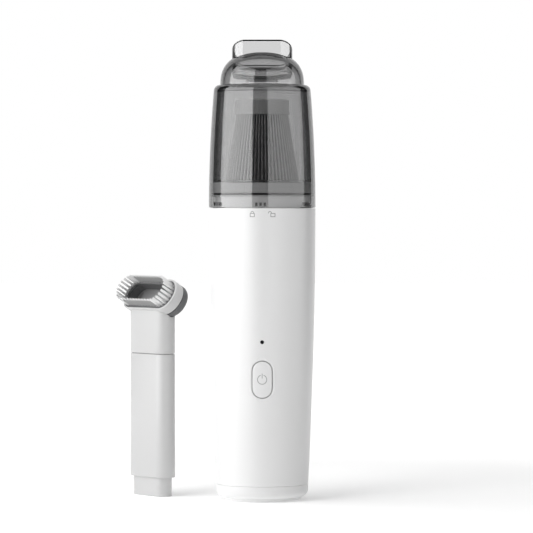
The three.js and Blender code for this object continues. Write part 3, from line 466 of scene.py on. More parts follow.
print_pale = solid_finish("print_pale", grey(0.40), 0.5, grain=0.2)
print_dark = solid_finish("print_dark", grey(0.06), 0.5, grain=0.2)
steel = solid_finish("steel", (0.62, 0.62, 0.64), 0.28, grain=0.3, tone=0.06, metallic=1)
nickel = solid_finish("nickel", (0.66, 0.64, 0.58), 0.35, grain=0.3, tone=0.06, metallic=1)
print("solid finishes:", len(bpy.data.materials))

# %% [markdown]
# The cup and the mouth are clear mouldings. What colours them is mostly the plastic's own depth: the shader
# is colourless face-on, and an absorbing volume fills the wall. It turns dark where the eye looks along a
# wall, as on the real cup's edges. Where a face is seen edge-on, the shader's colour is painted darker, a
# painted shade that draws the thin black outlines. A ray that only asks for shadow or diffuse light passes
# straight through, so the filter gets light.

# %% Clear finishes
plastic_ior = 1.49
painted_outline_tone = 0.04
clear_smudge_size = 60
smoke_colour = (0.02, 0.02, 0.025, 1)


def clear_finish(name, absorption, painted_outline_from, painted_outline_to, roughness=0.02):
    """Clear plastic tinted by an absorbing volume, given per metre of depth, with painted shade where seen
    edge-on.
    """
    material, tree = new_material(name, (0.5, 0.5, 0.5, 0.5))
    painted_outline_facing = add(tree, "LayerWeight", Blend=0.5).outputs["Facing"]
    surface = add(
        tree,
        "Group",
        settings={"node_tree": moulding},
        Smudge_Size=clear_smudge_size,
        Roughness=roughness,
        Roughness_Spread=roughness,
    ).outputs
    shader = add(
        tree,
        "BsdfPrincipled",
        # Painted shade: the colour darkens as the face turns edge-on, to draw the black outlines.
        Base_Color=map_range(tree, painted_outline_facing, painted_outline_from, painted_outline_to, 1, painted_outline_tone),
        Roughness=surface["Roughness"],
        IOR=plastic_ior,
        Transmission_Weight=1,
    )
    gathering = light_path_mask(tree, ("Is Shadow Ray", "Is Diffuse Ray"))
    choose = add(tree, "MixShader", gathering, shader, add(tree, "BsdfTransparent"))
    depth = add(tree, "VolumeAbsorption", Color=smoke_colour, Density=absorption)
    add(tree, "OutputMaterial", Surface=choose, Volume=depth)
    return material


# The last two numbers give the facing over which the painted outline shade sets in.
smoked_plastic = clear_finish("smoked_plastic", 240, 0.76, 0.9)
liner_plastic = clear_finish("liner_plastic", 240, 0.68, 0.8)
clear_plastic = clear_finish("clear_plastic", 240, 0.36, 0.48)
flap_silicone = clear_finish("flap_silicone", 420, 0.7, 0.95, roughness=0.35)
print("clear finishes made")

# %% [markdown]
# Filter paper is matt and fibrous: short fibres lie across it, which stretched noise draws, and they also
# stand a little proud of the surface. The folds between the pleats are painted dark, as painted shade. The
# distance from the axis, set against the cone's own radius at that height, tells a crest from the bottom of a
# fold.

# %% Filter paper
media_low, media_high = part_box("filter_media")
pleat_depth = 2.6 * mm
pleat_foot_radius = media_high.x
pleat_top_radius = 16.8 * mm
fold_bottom = 1 - pleat_depth / pleat_foot_radius
# The painted shade is full in the lowest quarter of each fold and fades out towards the crest.
fold_shade_ends = fold_bottom + 0.25 * (1 - fold_bottom)
fibre_size = 1400
fibre_stretch = (1, 1, 0.25)


def fold_shade_mask(tree, place):
    """1 on the crests of the pleats, falling to 0 at the bottom of the folds, where the shade is painted."""
    height = add(tree, "SeparateXYZ", place).outputs["Z"]
    level_part = add(tree, "VectorMath", place, (1, 1, 0), settings={"operation": "MULTIPLY"})
    crest = map_range(tree, height, media_low.z, media_high.z, pleat_foot_radius, pleat_top_radius)
    ratio = math_node(tree, "DIVIDE", length_of(tree, level_part), crest)
    return map_range(tree, ratio, fold_shade_ends, 1, 0, 1)


def fibre_finish(name, dark, light):
    """Fibrous paper with shade painted dark in its folds and its own pale colour on its crests."""
    material, tree = new_material(name, light)
    place = object_place(tree)
    stretch = add(tree, "Mapping", Vector=place, Scale=fibre_stretch)
    fibres = add(tree, "TexNoise", Vector=stretch, Scale=fibre_size, Detail=4)
    streaks = map_range(tree, fibres.outputs[0], 0.3, 0.7, 0.85, 1)
    paper = add(tree, "Mix", settings={"data_type": "RGBA"}, Factor=fold_shade_mask(tree, place), A=dark, B=light)
    tint = add(tree, "Mix", settings=multiply, Factor=1, A=paper.outputs["Result"], B=streaks)
    shader = add(
        tree,
        "BsdfPrincipled",
        Base_Color=tint.outputs["Result"],
        Roughness=0.92,
        Specular_IOR_Level=0.2,
        Normal=add(tree, "Bump", Strength=0.4, Distance=0.05 * mm, Height=fibres),
    )
    add(tree, "OutputMaterial", Surface=shader)
    return material


# The dark colour is painted shade in the folds; the pale one is the paper's own colour.
filter_paper = fibre_finish("filter_paper", (*grey(0.012), 1), (*grey(0.88), 1))
print("the paper's folds are", round(pleat_depth / mm, 1), "mm deep")

# %% [markdown]
# The circuit boards are green lacquer over copper. Their tracks show through it as slightly paler lines,
# drawn by the seams of a brick pattern.

# %% Circuit board finish
def board_finish():
    """Green lacquer with slightly paler copper tracks under it."""
    material, tree = new_material("board_green", (0.01, 0.09, 0.04, 1))
    turn = add(tree, "Mapping", Vector=object_place(tree), Rotation=(math.radians(90), 0, 0))
    tracks = add(
        tree,
        "TexBrick",
        Vector=turn,
        Scale=260,
        Mortar_Size=0.03,
        Color1=(0.008, 0.075, 0.03, 1),
        Color2=(0.010, 0.085, 0.035, 1),
        Mortar=(0.03, 0.20, 0.09, 1),
    )
    shader = add(tree, "BsdfPrincipled", Base_Color=tracks.outputs["Color"], Roughness=0.35)
    add(tree, "OutputMaterial", Surface=shader)
    return material


board_green = board_finish()
print("all finishes:", len(bpy.data.materials))

# %% [markdown]
# ## Finishes on the frame's own pieces
# The pieces inside the body keep the frame's solids and only get finishes. The shell hides them, so they
# need no finer form.

# %% Dress the inner pieces
inner_pieces = (
    (foam_black, "fan_gasket exhaust_foam"),
    (inner_plastic, "fan_cover fan_housing chassis_front chassis_rear button_switch"),
    (dark_plastic, "fan_impeller"),
    (steel, "motor_shaft motor_can charge_socket flap_pin cap_screw_front cap_screw_rear"),
    (steel, "chassis_screw_1 chassis_screw_2 chassis_screw_3 chassis_screw_4"),
    (black_rubber, "motor_damper_top motor_damper_bottom"),
    (cell_wrap, "battery_cell_left battery_cell_right"),
    (nickel, "battery_strip"),
    (board_green, "control_board charge_board"),
)
for finish, node_names in inner_pieces:
    for node_name in node_names.split():
        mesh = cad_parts[node_name].data
        mesh.materials.clear()
        mesh.materials.append(finish)
        print(node_name, "is dressed in", finish.name)

# %% [markdown]
# ## Modelling helpers
# Every piece starts from one of Blender's own forms, and is then worked on as by hand. These helpers take up
# what all of them need: picking one piece alone, naming what was just added, and closing its mesh.

# %% Picking, naming and closing
weld = 0.001 * mm


def pick_up(piece):
    """Selects one piece alone and makes it the active one."""
    start_clean()
    piece.select_set(True)
    bpy.context.view_layer.objects.active = piece


def newest(name, scale=(1, 1, 1)):
    """The piece that was just added, named, with its place and size put into its mesh."""
    piece = bpy.context.object
    piece.name = name
    piece.scale = scale
    bpy.ops.object.transform_apply(location=True, rotation=True, scale=True)
    return piece


def open_up():
    """Goes into edit mode with everything selected."""
    bpy.ops.object.mode_set(mode="EDIT")
    bpy.ops.mesh.select_all(action="SELECT")


def close_up(piece):
    """Merges doubled points and turns every face outwards."""
    bpy.ops.mesh.select_all(action="SELECT")
    bpy.ops.mesh.remove_doubles(threshold=weld)
    bpy.ops.mesh.normals_make_consistent(inside=False)
    bpy.ops.object.mode_set(mode="OBJECT")
    return piece


def pick(piece, wanted):
    """In edit mode, selects the points whose place passes a test, and the edges and faces between them."""
    mesh = bmesh.from_edit_mesh(piece.data)
    for face in mesh.faces:
        face.select = False
    for edge in mesh.edges:
        edge.select = False
    for point in mesh.verts:
        point.select = bool(wanted(point.co))
    mesh.select_flush(True)
    bmesh.update_edit_mesh(piece.data)


def settle(piece, move=(0, 0, 0), turn=(0, 0, 0)):
    """Turns and moves a piece and puts its place into its mesh."""
    pick_up(piece)
    piece.rotation_euler = [math.radians(a) for a in turn]
    piece.location = move
    bpy.ops.object.transform_apply(location=True, rotation=True, scale=True)
    return piece


print("points closer than", weld / mm, "mm are merged")

# %% [markdown]
# Round mouldings start as a circle of edges. Each point of the outline is made by extruding that loop
# upwards and scaling it about the axis, as one would by hand. A closed outline comes back to its first
# loop, where the doubled points are merged.

# %% Turned forms
round_sides = 128


def circle(name, sides, radius, height, fill="NGON", turn=0):
    """A circle of edges round the axis, filled or open, opened up with everything selected."""
    start_clean()
    bpy.ops.mesh.primitive_circle_add(
        vertices=sides, radius=radius, fill_type=fill, location=(0, 0, height), rotation=(0, 0, turn)
    )
    piece = newest(name)
    open_up()
    return piece


def next_loop(rise, share, height):
    """Extrudes the selected loop upwards and scales it about the axis at its new height."""
    bpy.ops.mesh.extrude_edges_move(TRANSFORM_OT_translate={"value": (0, 0, rise)})
    bpy.ops.transform.resize(value=(share, share, 1), center_override=(0, 0, height))


def turned(name, outline, sides=round_sides):
    """Turns an outline of (radius, height) points that ends on the axis or comes back to its start."""
    solid = outline[0][0] == 0
    loop = list(outline[1:]) if solid else [*outline, outline[0]]
    radius, height = loop[0]
    piece = circle(name, sides, radius, height, "NGON" if solid else "NOTHING")
    for next_radius, next_height in loop[1:]:
        if next_radius == 0:
            next_loop(next_height - height, 1, next_height)
            bpy.ops.mesh.merge(type="CENTER")
            break
        next_loop(next_height - height, next_radius / radius, next_height)
        radius, height = next_radius, next_height
    return close_up(piece)


def rod(name, radius, low, high, sides):
    """A plain turned rod between two heights."""
    return turned(name, [(0, low), (radius, low), (radius, high), (0, high)], sides)


def share_steps(count):
    """Shares from 0 to 1 in equal steps."""
    return [i / count for i in range(count + 1)]


def round_corner(centre, radius, start, end, steps=6):
    """Points of an arc in the outline's plane, from one angle to another in degrees."""
    angles = [math.radians(start + (end - start) * share) for share in share_steps(steps)]
    return [(centre[0] + radius * math.cos(a), centre[1] + radius * math.sin(a)) for a in angles]


print("round forms have", round_sides, "sides")

# %% [markdown]
# Flat oval mouldings start as a circle too. Its four quarters are moved apart, which leaves straight edges
# between them, and the loop is then extruded to its height. Plain blocks start as a cube.

# %% Flat ovals and blocks
oval_sides = 64
large = 200 * mm


def oval_block(name, width, depth, corner, bottom, top, sides=oval_sides, drawn_in=0):
    """A block with a flat oval outline and rounded corners, which can be drawn in from that outline."""
    width, depth, corner = width - 2 * drawn_in, depth - 2 * drawn_in, corner - drawn_in
    half_step = math.pi / sides
    piece = circle(name, sides, corner / math.cos(half_step), bottom, turn=half_step)
    for side_x, side_y in ((-1, -1), (-1, 1), (1, -1), (1, 1)):
        pick(piece, lambda co: co.x * side_x > 0 and co.y * side_y > 0)
        spread = (side_x * (width / 2 - corner), side_y * (depth / 2 - corner), 0)
        bpy.ops.transform.translate(value=spread)
    bpy.ops.mesh.select_all(action="SELECT")
    bpy.ops.mesh.extrude_region_move(TRANSFORM_OT_translate={"value": (0, 0, top - bottom)})
    return close_up(piece)


def slope_block(name, degrees, y, z, side=1):
    """A large block above (or with side -1 below) a plane that falls towards the back, through y and z."""
    start_clean()
    bpy.ops.mesh.primitive_cube_add(size=large, location=(0, 0, side * large / 2))
    return settle(newest(name), move=(0, y, z), turn=(-degrees, 0, 0))


def plain_block(name, low, high):
    """A block from its lowest to its highest corner."""
    start_clean()
    low, high = Vector(low), Vector(high)
    bpy.ops.mesh.primitive_cube_add(size=1, location=(low + high) / 2)
    return newest(name, high - low)


print("flat ovals have", oval_sides, "sides")

# %% [markdown]
# Pieces are cut and joined with Boolean modifiers, which are applied at once. The tool is deleted after the
# cut, and the faces that it leaves keep its own finish.

# %% Cutting and joining
def apply_modifier(piece, kind, **settings):
    """Adds a modifier with its settings and applies it."""
    bpy.context.view_layer.objects.active = piece
    modifier = piece.modifiers.new(kind.lower(), kind)
    for key, value in settings.items():
        setattr(modifier, key, value)
    bpy.ops.object.modifier_apply(modifier=modifier.name)
    return piece


def remove(piece):
    """Deletes a piece that only served as a tool."""
    pick_up(piece)
    bpy.ops.object.delete()


def carve(piece, *tools, operation="DIFFERENCE"):
    """Cuts tools out of a piece, or joins them to it, and deletes them. Faces keep their tool's finish."""
    settings = {"operation": operation, "solver": "EXACT", "material_mode": "TRANSFER"}
    for tool in tools:
        apply_modifier(piece, "BOOLEAN", object=tool, **settings)
        remove(tool)
    return piece


def fuse(piece, *tools):
    """Joins other pieces into a piece."""
    return carve(piece, *tools, operation="UNION")


def keep_within(piece, tool):
    """Keeps what of a piece lies within a tool."""
    return carve(piece, tool, operation="INTERSECT")


print("pieces are cut and joined by exact booleans")

# %% [markdown]
# Edges are softened by a Bevel modifier where they are sharper than an angle. Copies get meshes of their own.
# The last helper gives a piece its shading and finish and ties it to the body that it moves with.

# %% Softening, copying and finishing
def soften(piece, width, segments=2, degrees=35):
    """Rounds the edges that are sharper than an angle."""
    settings = {"limit_method": "ANGLE", "angle_limit": math.radians(degrees), "harden_normals": False}
    return apply_modifier(piece, "BEVEL", width=width, segments=segments, **settings)


def joined(pieces, name):
    """Joins pieces into one."""
    pick_up(pieces[0])
    for piece in pieces:
        piece.select_set(True)
    bpy.ops.object.join()
    pieces[0].name = name
    return pieces[0]


def copy_of(piece, name):
    """A copy with a mesh of its own."""
    pick_up(piece)
    bpy.ops.object.duplicate(linked=False)
    double = bpy.context.object
    double.name = name
    return double


def finish_piece(piece, finish, slot, body, *nodes, smooth=32):
    """Shades a piece, gives it its finish (None keeps its own), ties it to its body and hides the nodes it
    replaces.
    """
    pick_up(piece)
    bpy.ops.object.shade_smooth_by_angle(angle=math.radians(smooth))
    if finish:
        piece.data.materials.clear()
        piece.data.materials.append(finish)
    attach(piece, body)
    if nodes:
        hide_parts(*nodes)
    print(piece.name, "has", len(piece.data.polygons), "faces")
    return piece


print("the modelling helpers are ready")

# %% [markdown]
# ## Body
# The body is one slim barrel: its radius falls off with the square of the distance from the top, which
# keeps the upper part nearly straight. The wall is drawn outside and inside in one closed outline.

# %% Body shell
body_low, body_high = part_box("body_shell")
cap_low, cap_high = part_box("bottom_cap")
body_bottom = body_low.z
body_top = body_high.z
body_top_radius = body_high.x
body_foot_radius = cap_high.x
body_wall = 2.2 * mm
rim_round = 0.15 * mm


def body_radius(height):
    """Outer radius of the body at a height."""
    share = (body_top - height) / (body_top - body_bottom)
    return body_top_radius - (body_top_radius - body_foot_radius) * share**2


def levels(low, high, steps):
    """Heights in equal steps."""
    return [low + (high - low) * share for share in share_steps(steps)]


def body_outline(drawn_in, low, high, steps=40):
    """Points of the body's side between two heights, drawn in from the surface."""
    return [(body_radius(z) - drawn_in, z) for z in levels(low, high, steps)]


def shell_form():
    """The shell as one closed turned form, with softly rounded outer rims."""
    outside = body_outline(0, body_bottom + rim_round, body_top - rim_round)
    low_rim = (body_radius(body_bottom) - rim_round, body_bottom)
    high_rim = (body_radius(body_top) - rim_round, body_top)
    inside = body_outline(body_wall, body_bottom, body_top, 10)
    return turned("body_shell_smooth", [low_rim, *outside, high_rim, *reversed(inside)])


body_shell = shell_form()
print("body is", round((body_top - body_bottom) / mm, 1), "mm long")

# %% [markdown]
# The openings are cut as on the real mould: a round-ended hole for the button, a small round one for the
# light, the charging hole low at the back, and eight round-ended exhaust slots above it.

# %% Openings through the shell
button_low, button_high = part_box("power_button")
pipe_low, pipe_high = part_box("led_light_pipe")
socket_low, socket_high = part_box("charge_socket")
foam_low, foam_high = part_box("exhaust_foam")
button_level = (button_low.z + button_high.z) / 2
pipe_level = (pipe_low.z + pipe_high.z) / 2
socket_level = (socket_low.z + socket_high.z) / 2
exhaust_level = (foam_low.z + foam_high.z) / 2
button_width = 13.4 * mm
button_height = 24.4 * mm
pipe_hole_radius = 1.25 * mm
fit = 0.3 * mm
close_fit = 0.1 * mm
over = 5 * mm
slot_count = 8
slot_height = 1.8 * mm
slot_pitch = 3.8 * mm
slot_width = 27 * mm
beyond = 45 * mm
opening_edge = 0.18 * mm


def pill_through(name, width, height, front, back, level, lying=False):
    """A round-ended block that runs along Y from front to back, standing up or lying on its side."""
    block = oval_block(name, width, height, width / 2, 0, back - front)
    if lying:
        settle(block, turn=(0, 0, 90))
    return settle(block, move=(0, front, level), turn=(-90, 0, 0))


def button_pill(name, wider, front, back):
    """A block of the button's outline, wider or narrower all round."""
    return pill_through(name, button_width + wider, button_height + wider, front, back, button_level)


button_hole = button_pill("button_hole", 0, -beyond, 0)
pipe_hole = pill_through("pipe_hole", 2 * pipe_hole_radius, 2 * pipe_hole_radius, -beyond, 0, pipe_level)
socket_height = socket_high.z - socket_low.z + 2 * fit
socket_width = socket_high.x - socket_low.x + 2 * fit
socket_hole = pill_through("socket_hole", socket_height, socket_width, 0, beyond, socket_level, lying=True)
slot_tools = []
for i in range(slot_count):
    slot_level = exhaust_level + (i - (slot_count - 1) / 2) * slot_pitch
    slot_tools.append(pill_through(f"slot_{i}", slot_height, slot_width, 0, beyond, slot_level, lying=True))
carve(body_shell, button_hole, pipe_hole, socket_hole, *slot_tools)
soften(body_shell, opening_edge, degrees=60)
finish_piece(body_shell, white_plastic, "white_plastic", "body", "body_shell")

# %% [markdown]
# ## Foot
# The cap closes the barrel below with a rounded band, and has a recess for the pad. Its spigot reaches up
# inside the shell, and two screws go up through it into the chassis. The holes for them are turned by a few
# degrees, so that no corner of theirs falls on an edge of the cap.

# %% Bottom cap
pad_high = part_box("foot_pad")[1]
pad_radius = pad_high.x
pad_recess = pad_high.z + fit
cap_corner_width = 3.6 * mm
cap_corner_height = 5.2 * mm
cap_floor = 4 * mm
seam_gap = 0.1 * mm
cap_band_top = body_bottom - seam_gap
spigot_outer = body_foot_radius - body_wall - fit
spigot_wall = 1.8 * mm
cap_screw_offset = 14 * mm
cap_screw_head = 2.5 * mm
cap_screw_seat = 1.9 * mm
cap_screw_shank = 1.4 * mm
screw_sides = 24
screw_turn = 4
seam_round = 0.15 * mm


def cap_outline():
    """The cap's closed outline, from the pad's recess round the outside and down inside the spigot."""
    corner = []
    for share in share_steps(10):
        angle = math.radians(90 * share)
        drawn_in = cap_corner_width * (1 - math.sin(angle))
        corner.append((body_foot_radius - drawn_in, cap_low.z + cap_corner_height * (1 - math.cos(angle))))
    return [
        (0, pad_recess),
        (pad_radius + fit, pad_recess),
        (pad_radius + fit, cap_low.z),
        *corner,
        (body_foot_radius, cap_band_top - seam_round),
        (body_foot_radius - seam_round, cap_band_top),
        (spigot_outer, cap_band_top),
        (spigot_outer, cap_high.z - seam_round),
        (spigot_outer - seam_round, cap_high.z),
        (spigot_outer - spigot_wall, cap_high.z),
        (spigot_outer - spigot_wall, pad_recess + cap_floor),
        (0, pad_recess + cap_floor),
    ]


bottom_cap = turned("bottom_cap_smooth", cap_outline())
for side in (-1, 1):
    head = rod("screw_recess", cap_screw_head, 0, pad_recess + cap_screw_seat, screw_sides)
    shank = rod("screw_way", cap_screw_shank, 0, beyond, screw_sides)
    for tool in (head, shank):
        settle(tool, move=(0, side * cap_screw_offset, 0), turn=(0, 0, screw_turn))
    carve(bottom_cap, head, shank)
finish_piece(bottom_cap, white_plastic, "white_plastic", "body", "bottom_cap")

# %% [markdown]
# The pad is a turned disc of rubber with a rounded edge. Its middle is a little hollow, so that it stands on
# its outer ring.

# %% Foot pad
pad_edge = 0.9 * mm
pad_groove = 0.4 * mm
pad_hollow = 0.80 * pad_radius
foot_pad = turned(
    "foot_pad_smooth",
    [
        (0, pad_groove),
        (pad_hollow, pad_groove),
        (pad_hollow + pad_groove, 0),
        *round_corner((pad_radius - pad_edge, pad_edge), pad_edge, -90, 0),
        (pad_radius, pad_high.z),
        (0, pad_high.z),
    ],
)
finish_piece(foot_pad, pad_rubber, "pad_rubber", "body", "foot_pad")

# %% [markdown]
# ## Power button and light
# The button is a long round-ended key whose face follows the barrel, with a softly rounded edge. A wide
# flange stays behind the wall and a stem reaches the switch. The face is cut from a copy of the barrel.

# %% Power button
button_gap = 1.0 * mm
flange_lip = 1.6 * mm
flange_thickness = 1.4 * mm
flange_depth = 1.8 * mm
flange_front = -(body_radius(button_level) - body_wall - flange_depth)
flange_middle = flange_front + flange_thickness / 2
button_edge = 0.4 * mm
stem_half = 2.5 * mm
stem_edge = 0.4 * mm

barrel = turned("barrel", [(0, body_bottom), *body_outline(0, body_bottom, body_top), (0, body_top)])
power_button = button_pill("power_button_smooth", -button_gap, -beyond, flange_middle)
keep_within(power_button, barrel)
soften(power_button, button_edge, segments=4, degrees=50)
flange = button_pill("button_flange", 2 * flange_lip, flange_front, flange_front + flange_thickness)
stem = plain_block(
    "button_stem",
    (-stem_half, flange_middle, button_level - stem_half),
    (stem_half, button_high.y, button_level + stem_half),
)
soften(stem, stem_edge)
fuse(power_button, flange, stem)
finish_piece(power_button, white_plastic, "white_plastic", "button", "power_button")

# %% [markdown]
# The indicator is a dark pin that leads the light from the board to the surface. Its tip is slightly domed,
# and a collar holds it behind the wall.

# %% Light pipe
pipe_radius = 0.95 * mm
pipe_front = -body_radius(pipe_level)
pipe_tip = ((0, 0.05 * mm), (0.8, 0.1 * mm), (1, 0.3 * mm))
pipe_collar = 0.9 * mm
pipe_length = pipe_high.y - pipe_front
collar_start = body_wall + fit
light_pipe = turned(
    "light_pipe_smooth",
    [
        *((share * pipe_radius, depth) for share, depth in pipe_tip),
        (pipe_radius, collar_start),
        (pipe_radius + pipe_collar, collar_start),
        (pipe_radius + pipe_collar, collar_start + pipe_collar),
        (pipe_radius, collar_start + pipe_collar),
        (pipe_radius, pipe_length),
        (0, pipe_length),
    ],
    sides=32,
)
settle(light_pipe, move=(0, pipe_front, pipe_level), turn=(-90, 0, 0))
finish_piece(light_pipe, lens_dark, "lens", "body", "led_light_pipe")

# %% [markdown]
# ## Printed signs
# Thin grey signs lie on the barrel: a power sign on the button, and a closed and an open padlock by the cup.
# Each sign is drawn flat, pushed through the barrel, and only a skin of ink is kept of it.

# %% Helper for printing on the barrel
ink = 0.04 * mm
ink_root = 0.15 * mm


def print_on_barrel(sign, name, finish, body_name):
    """Keeps the skin of ink that a flat sign leaves on the barrel. The sign stands along Y in front."""
    skin = turned(
        "skin",
        [
            *body_outline(-ink, body_bottom, body_top),
            *reversed(body_outline(ink_root, body_bottom, body_top)),
        ],
        sides=256,
    )
    keep_within(sign, skin)
    sign.name = name
    return finish_piece(sign, finish, "dark_plastic", body_name)


def stand_up(piece, x, level):
    """Turns a flat sign, drawn with Z as its depth, so that it faces the front at a place."""
    return settle(piece, move=(x, -beyond, level), turn=(-90, 0, 0))


def flat_ring(name, outer, inner, sides=64):
    """A ring of even width, as deep as the barrel."""
    return turned(name, [(inner, 0), (outer, 0), (outer, beyond), (inner, beyond)], sides)


print("the ink is", ink / mm, "mm thick")

# %% [markdown]
# The power sign is the usual open ring with a bar in its gap. It is printed in a paler grey on the button.

# %% Power sign
sign_radius = 3.2 * mm
sign_line = 0.5 * mm
sign_gap = 0.9 * mm
bar_length = 3.2 * mm
bar_drop = 0.9 * mm
power_sign = flat_ring("power_sign", sign_radius, sign_radius - sign_line)
carve(power_sign, plain_block("gap", (-sign_gap, -2 * sign_radius, -beyond), (sign_gap, 0, 2 * beyond)))
bar = oval_block("bar", sign_line, bar_length, sign_line / 2, 0, beyond, sides=16)
fuse(power_sign, settle(bar, move=(0, -sign_radius + bar_drop, 0)))
stand_up(power_sign, 0, button_level)
print_on_barrel(power_sign, "power_sign", print_pale, "button")

# %% [markdown]
# Two padlocks mark where the cup is locked and where it comes off. Each is a rounded frame with a shackle,
# and the shackle of the open one stands to the side.

# %% Padlock signs
lock_level = 185 * mm
lock_width = 3.1 * mm
lock_height = 0.8 * lock_width
lock_line = 0.4 * mm
lock_corner = 0.3 * mm
lock_corner_inside = 0.1 * mm
shackle_radius = 0.34 * lock_width
shackle_height = 2.8 * shackle_radius
shackle_lean = -0.62 * lock_width
through = (-over, 2 * beyond)
locks = (("closed_lock", 0, -6.3 * mm), ("open_lock", shackle_lean, 6.9 * mm))


def padlock(name, lean):
    """A padlock's outline: a rounded body, and a shackle that is shifted aside when it is open."""
    frame_part = oval_block(name, lock_width, lock_height, lock_corner, 0, beyond, sides=16)
    inside = (lock_width - 2 * lock_line, lock_height - 2 * lock_line, lock_corner_inside)
    carve(frame_part, oval_block("hollow", *inside, *through, sides=16))
    outline = (2 * shackle_radius, shackle_height, shackle_radius)
    shackle = oval_block("shackle", *outline, 0, beyond, sides=32)
    below = plain_block("below", (-lock_width, 0, -beyond), (lock_width, lock_width, 2 * beyond))
    carve(shackle, oval_block("shackle_hollow", *outline, *through, sides=32, drawn_in=lock_line), below)
    settle(shackle, move=(lean, (lock_line - lock_height) / 2, 0))
    return fuse(frame_part, shackle)


for name, lean, x in locks:
    sign = stand_up(padlock(name, lean), x, lock_level)
    print_on_barrel(sign, f"{name}_sign", print_grey, "body")

# %% [markdown]
# ## Neck
# A white sleeve stands inside the shell's top and carries the cup. Three grooves in it take the cup's lugs,
# and a plate with spokes covers the fan. The seal lies on the sleeve under the filter.

# %% Neck collar
neck_low, neck_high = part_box("neck_collar")
neck_radius = neck_high.x
neck_inner = neck_radius - 2.5 * mm
neck_plate = 2 * mm
neck_hole = 20.5 * mm
lug_depth = 1.2 * mm
lug_height = 2.2 * mm
lug_lift = 1.3 * mm
lug_arc = 12
lug_play = 1
lug_angles = (90, 210, 330)
spoke_angles = (-90, 30, 150)
twist = 10.5
skirt_gap = 0.4 * mm
cup_low, cup_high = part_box("dust_cup_shell")
cup_bottom = cup_low.z


def sector(name, inner, outer, start, end, bottom, top, steps=12):
    """A block of a ring between two angles, spun from a rectangle about the axis. Spin turns clockwise."""
    start_clean()
    middle = ((outer + inner) / 2, 0, (top + bottom) / 2)
    bpy.ops.mesh.primitive_plane_add(size=1, location=middle, rotation=(math.radians(90), 0, 0))
    piece = newest(name, (outer - inner, top - bottom, 1))
    settle(piece, turn=(0, 0, start))
    open_up()
    bpy.ops.mesh.spin(steps=steps, angle=math.radians(start - end), center=(0, 0, 0), axis=(0, 0, 1))
    return close_up(piece)


neck_top = neck_high.z
neck_round = 0.3 * mm
lip_inner = neck_radius - 1.7 * mm
lip_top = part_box("filter_base_ring")[0].z - close_fit
spoke_half = 1.2 * mm
neck_outline = [
    (neck_inner, neck_low.z),
    (neck_radius - neck_round, neck_low.z),
    (neck_radius, neck_low.z + neck_round),
    (neck_radius, lip_top - neck_round),
    (neck_radius - neck_round, lip_top),
    (lip_inner, lip_top),
    (lip_inner, neck_top),
    (neck_hole, neck_top),
    (neck_hole, neck_top - neck_plate),
    (neck_inner, neck_top - neck_plate),
]
neck = turned("neck_smooth", neck_outline)
for angle in spoke_angles:
    spoke = plain_block(
        "spoke",
        (0, -spoke_half, neck_top - neck_plate + close_fit),
        (neck_hole + fit, spoke_half, neck_top - close_fit),
    )
    fuse(neck, settle(spoke, turn=(0, 0, angle)))
track_floor = neck_radius - (lug_depth - skirt_gap) - fit
track_low = cup_bottom + lug_lift - fit
track_high = track_low + lug_height + 2 * fit
half_lug = lug_arc / 2 + lug_play
for angle in lug_angles:
    first, last = angle - half_lug, angle + twist + half_lug
    turning = sector("turning", track_floor, beyond, first - twist, last, track_low, track_high)
    entry = sector("entry", track_floor, beyond, first, last, track_low, neck_top + over)
    carve(neck, turning, entry)
finish_piece(neck, white_plastic, "white_plastic", "body", "neck_collar")
print("neck reaches", round(neck_top / mm, 1), "mm")

# %% [markdown]
# The seal is a soft black ring in the neck's mouth. A low lip on it presses against the filter's flange.

# %% Neck seal
seal_low, seal_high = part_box("neck_seal")
seal_width = 3.6 * mm
seal_round = 0.3 * mm
seal_inner = seal_high.x - seal_width
seal_outer = lip_inner - close_fit
seal_lip_top = seal_high.z + 1.5 * mm
seal_lip_inner = seal_outer - 1.2 * mm
neck_seal = turned(
    "neck_seal_smooth",
    [
        (seal_inner, seal_low.z),
        (seal_outer, seal_low.z),
        (seal_outer, lip_top + close_fit),
        (seal_high.x, lip_top + seal_round),
        (seal_high.x, seal_lip_top - seal_round),
        (seal_high.x - seal_round, seal_lip_top),
        (seal_lip_inner + seal_round, seal_lip_top),
        (seal_lip_inner, seal_lip_top - seal_round),
        (seal_lip_inner, seal_high.z),
        (seal_inner + seal_round, seal_high.z),
        (seal_inner, seal_high.z - seal_round),
    ],
)
finish_piece(neck_seal, black_rubber, "black_rubber", "body", "neck_seal")

# %% [markdown]
# ## Dust cup
# The cup is one clear moulding: a skirt over the neck, a side that tapers upwards, a rounded shoulder with a
# small ledge, and a dome that the mouth comes out of. At the back the dome is cut off by a slanted face. It
# is made as an outer solid, from which the inner space and the mouth's hole are cut.

# %% Sizes of the cup
cup_height = 79.7 * mm
cup_base_radius = cup_high.x
cup_taper = 3.5 * mm
cup_wall = 2.2 * mm
skirt_wall = 1.5 * mm
skirt_height = 6.9 * mm
shoulder_round = 4 * mm
shoulder_ledge = 0.3 * mm
roof_thickness = 3.4 * mm
dome_height = 21.4 * mm
dome_wall = 2.1 * mm
dome_crown = 3 * mm
dome_power = 2.5
groove = 0.8 * mm
roof_line = 265.4 * mm
cup_sides = 192
facet_degrees = 31
facet_below_rim = 0.6 * mm
nozzle_low, nozzle_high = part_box("intake_nozzle")
nozzle_width = nozzle_high.x - nozzle_low.x
nozzle_depth = -2 * nozzle_low.y
nozzle_corner = 8.5 * mm
nozzle_outline = (nozzle_width, nozzle_depth, nozzle_corner)
rim_degrees = 37
rim_back = nozzle_high.z - nozzle_depth * math.tan(math.radians(rim_degrees))
facet_top = rim_back - facet_below_rim


def cup_radius(height):
    """Outer radius of the cup at a height over its lower edge."""
    return cup_base_radius - cup_taper * (height / cup_height) ** 2


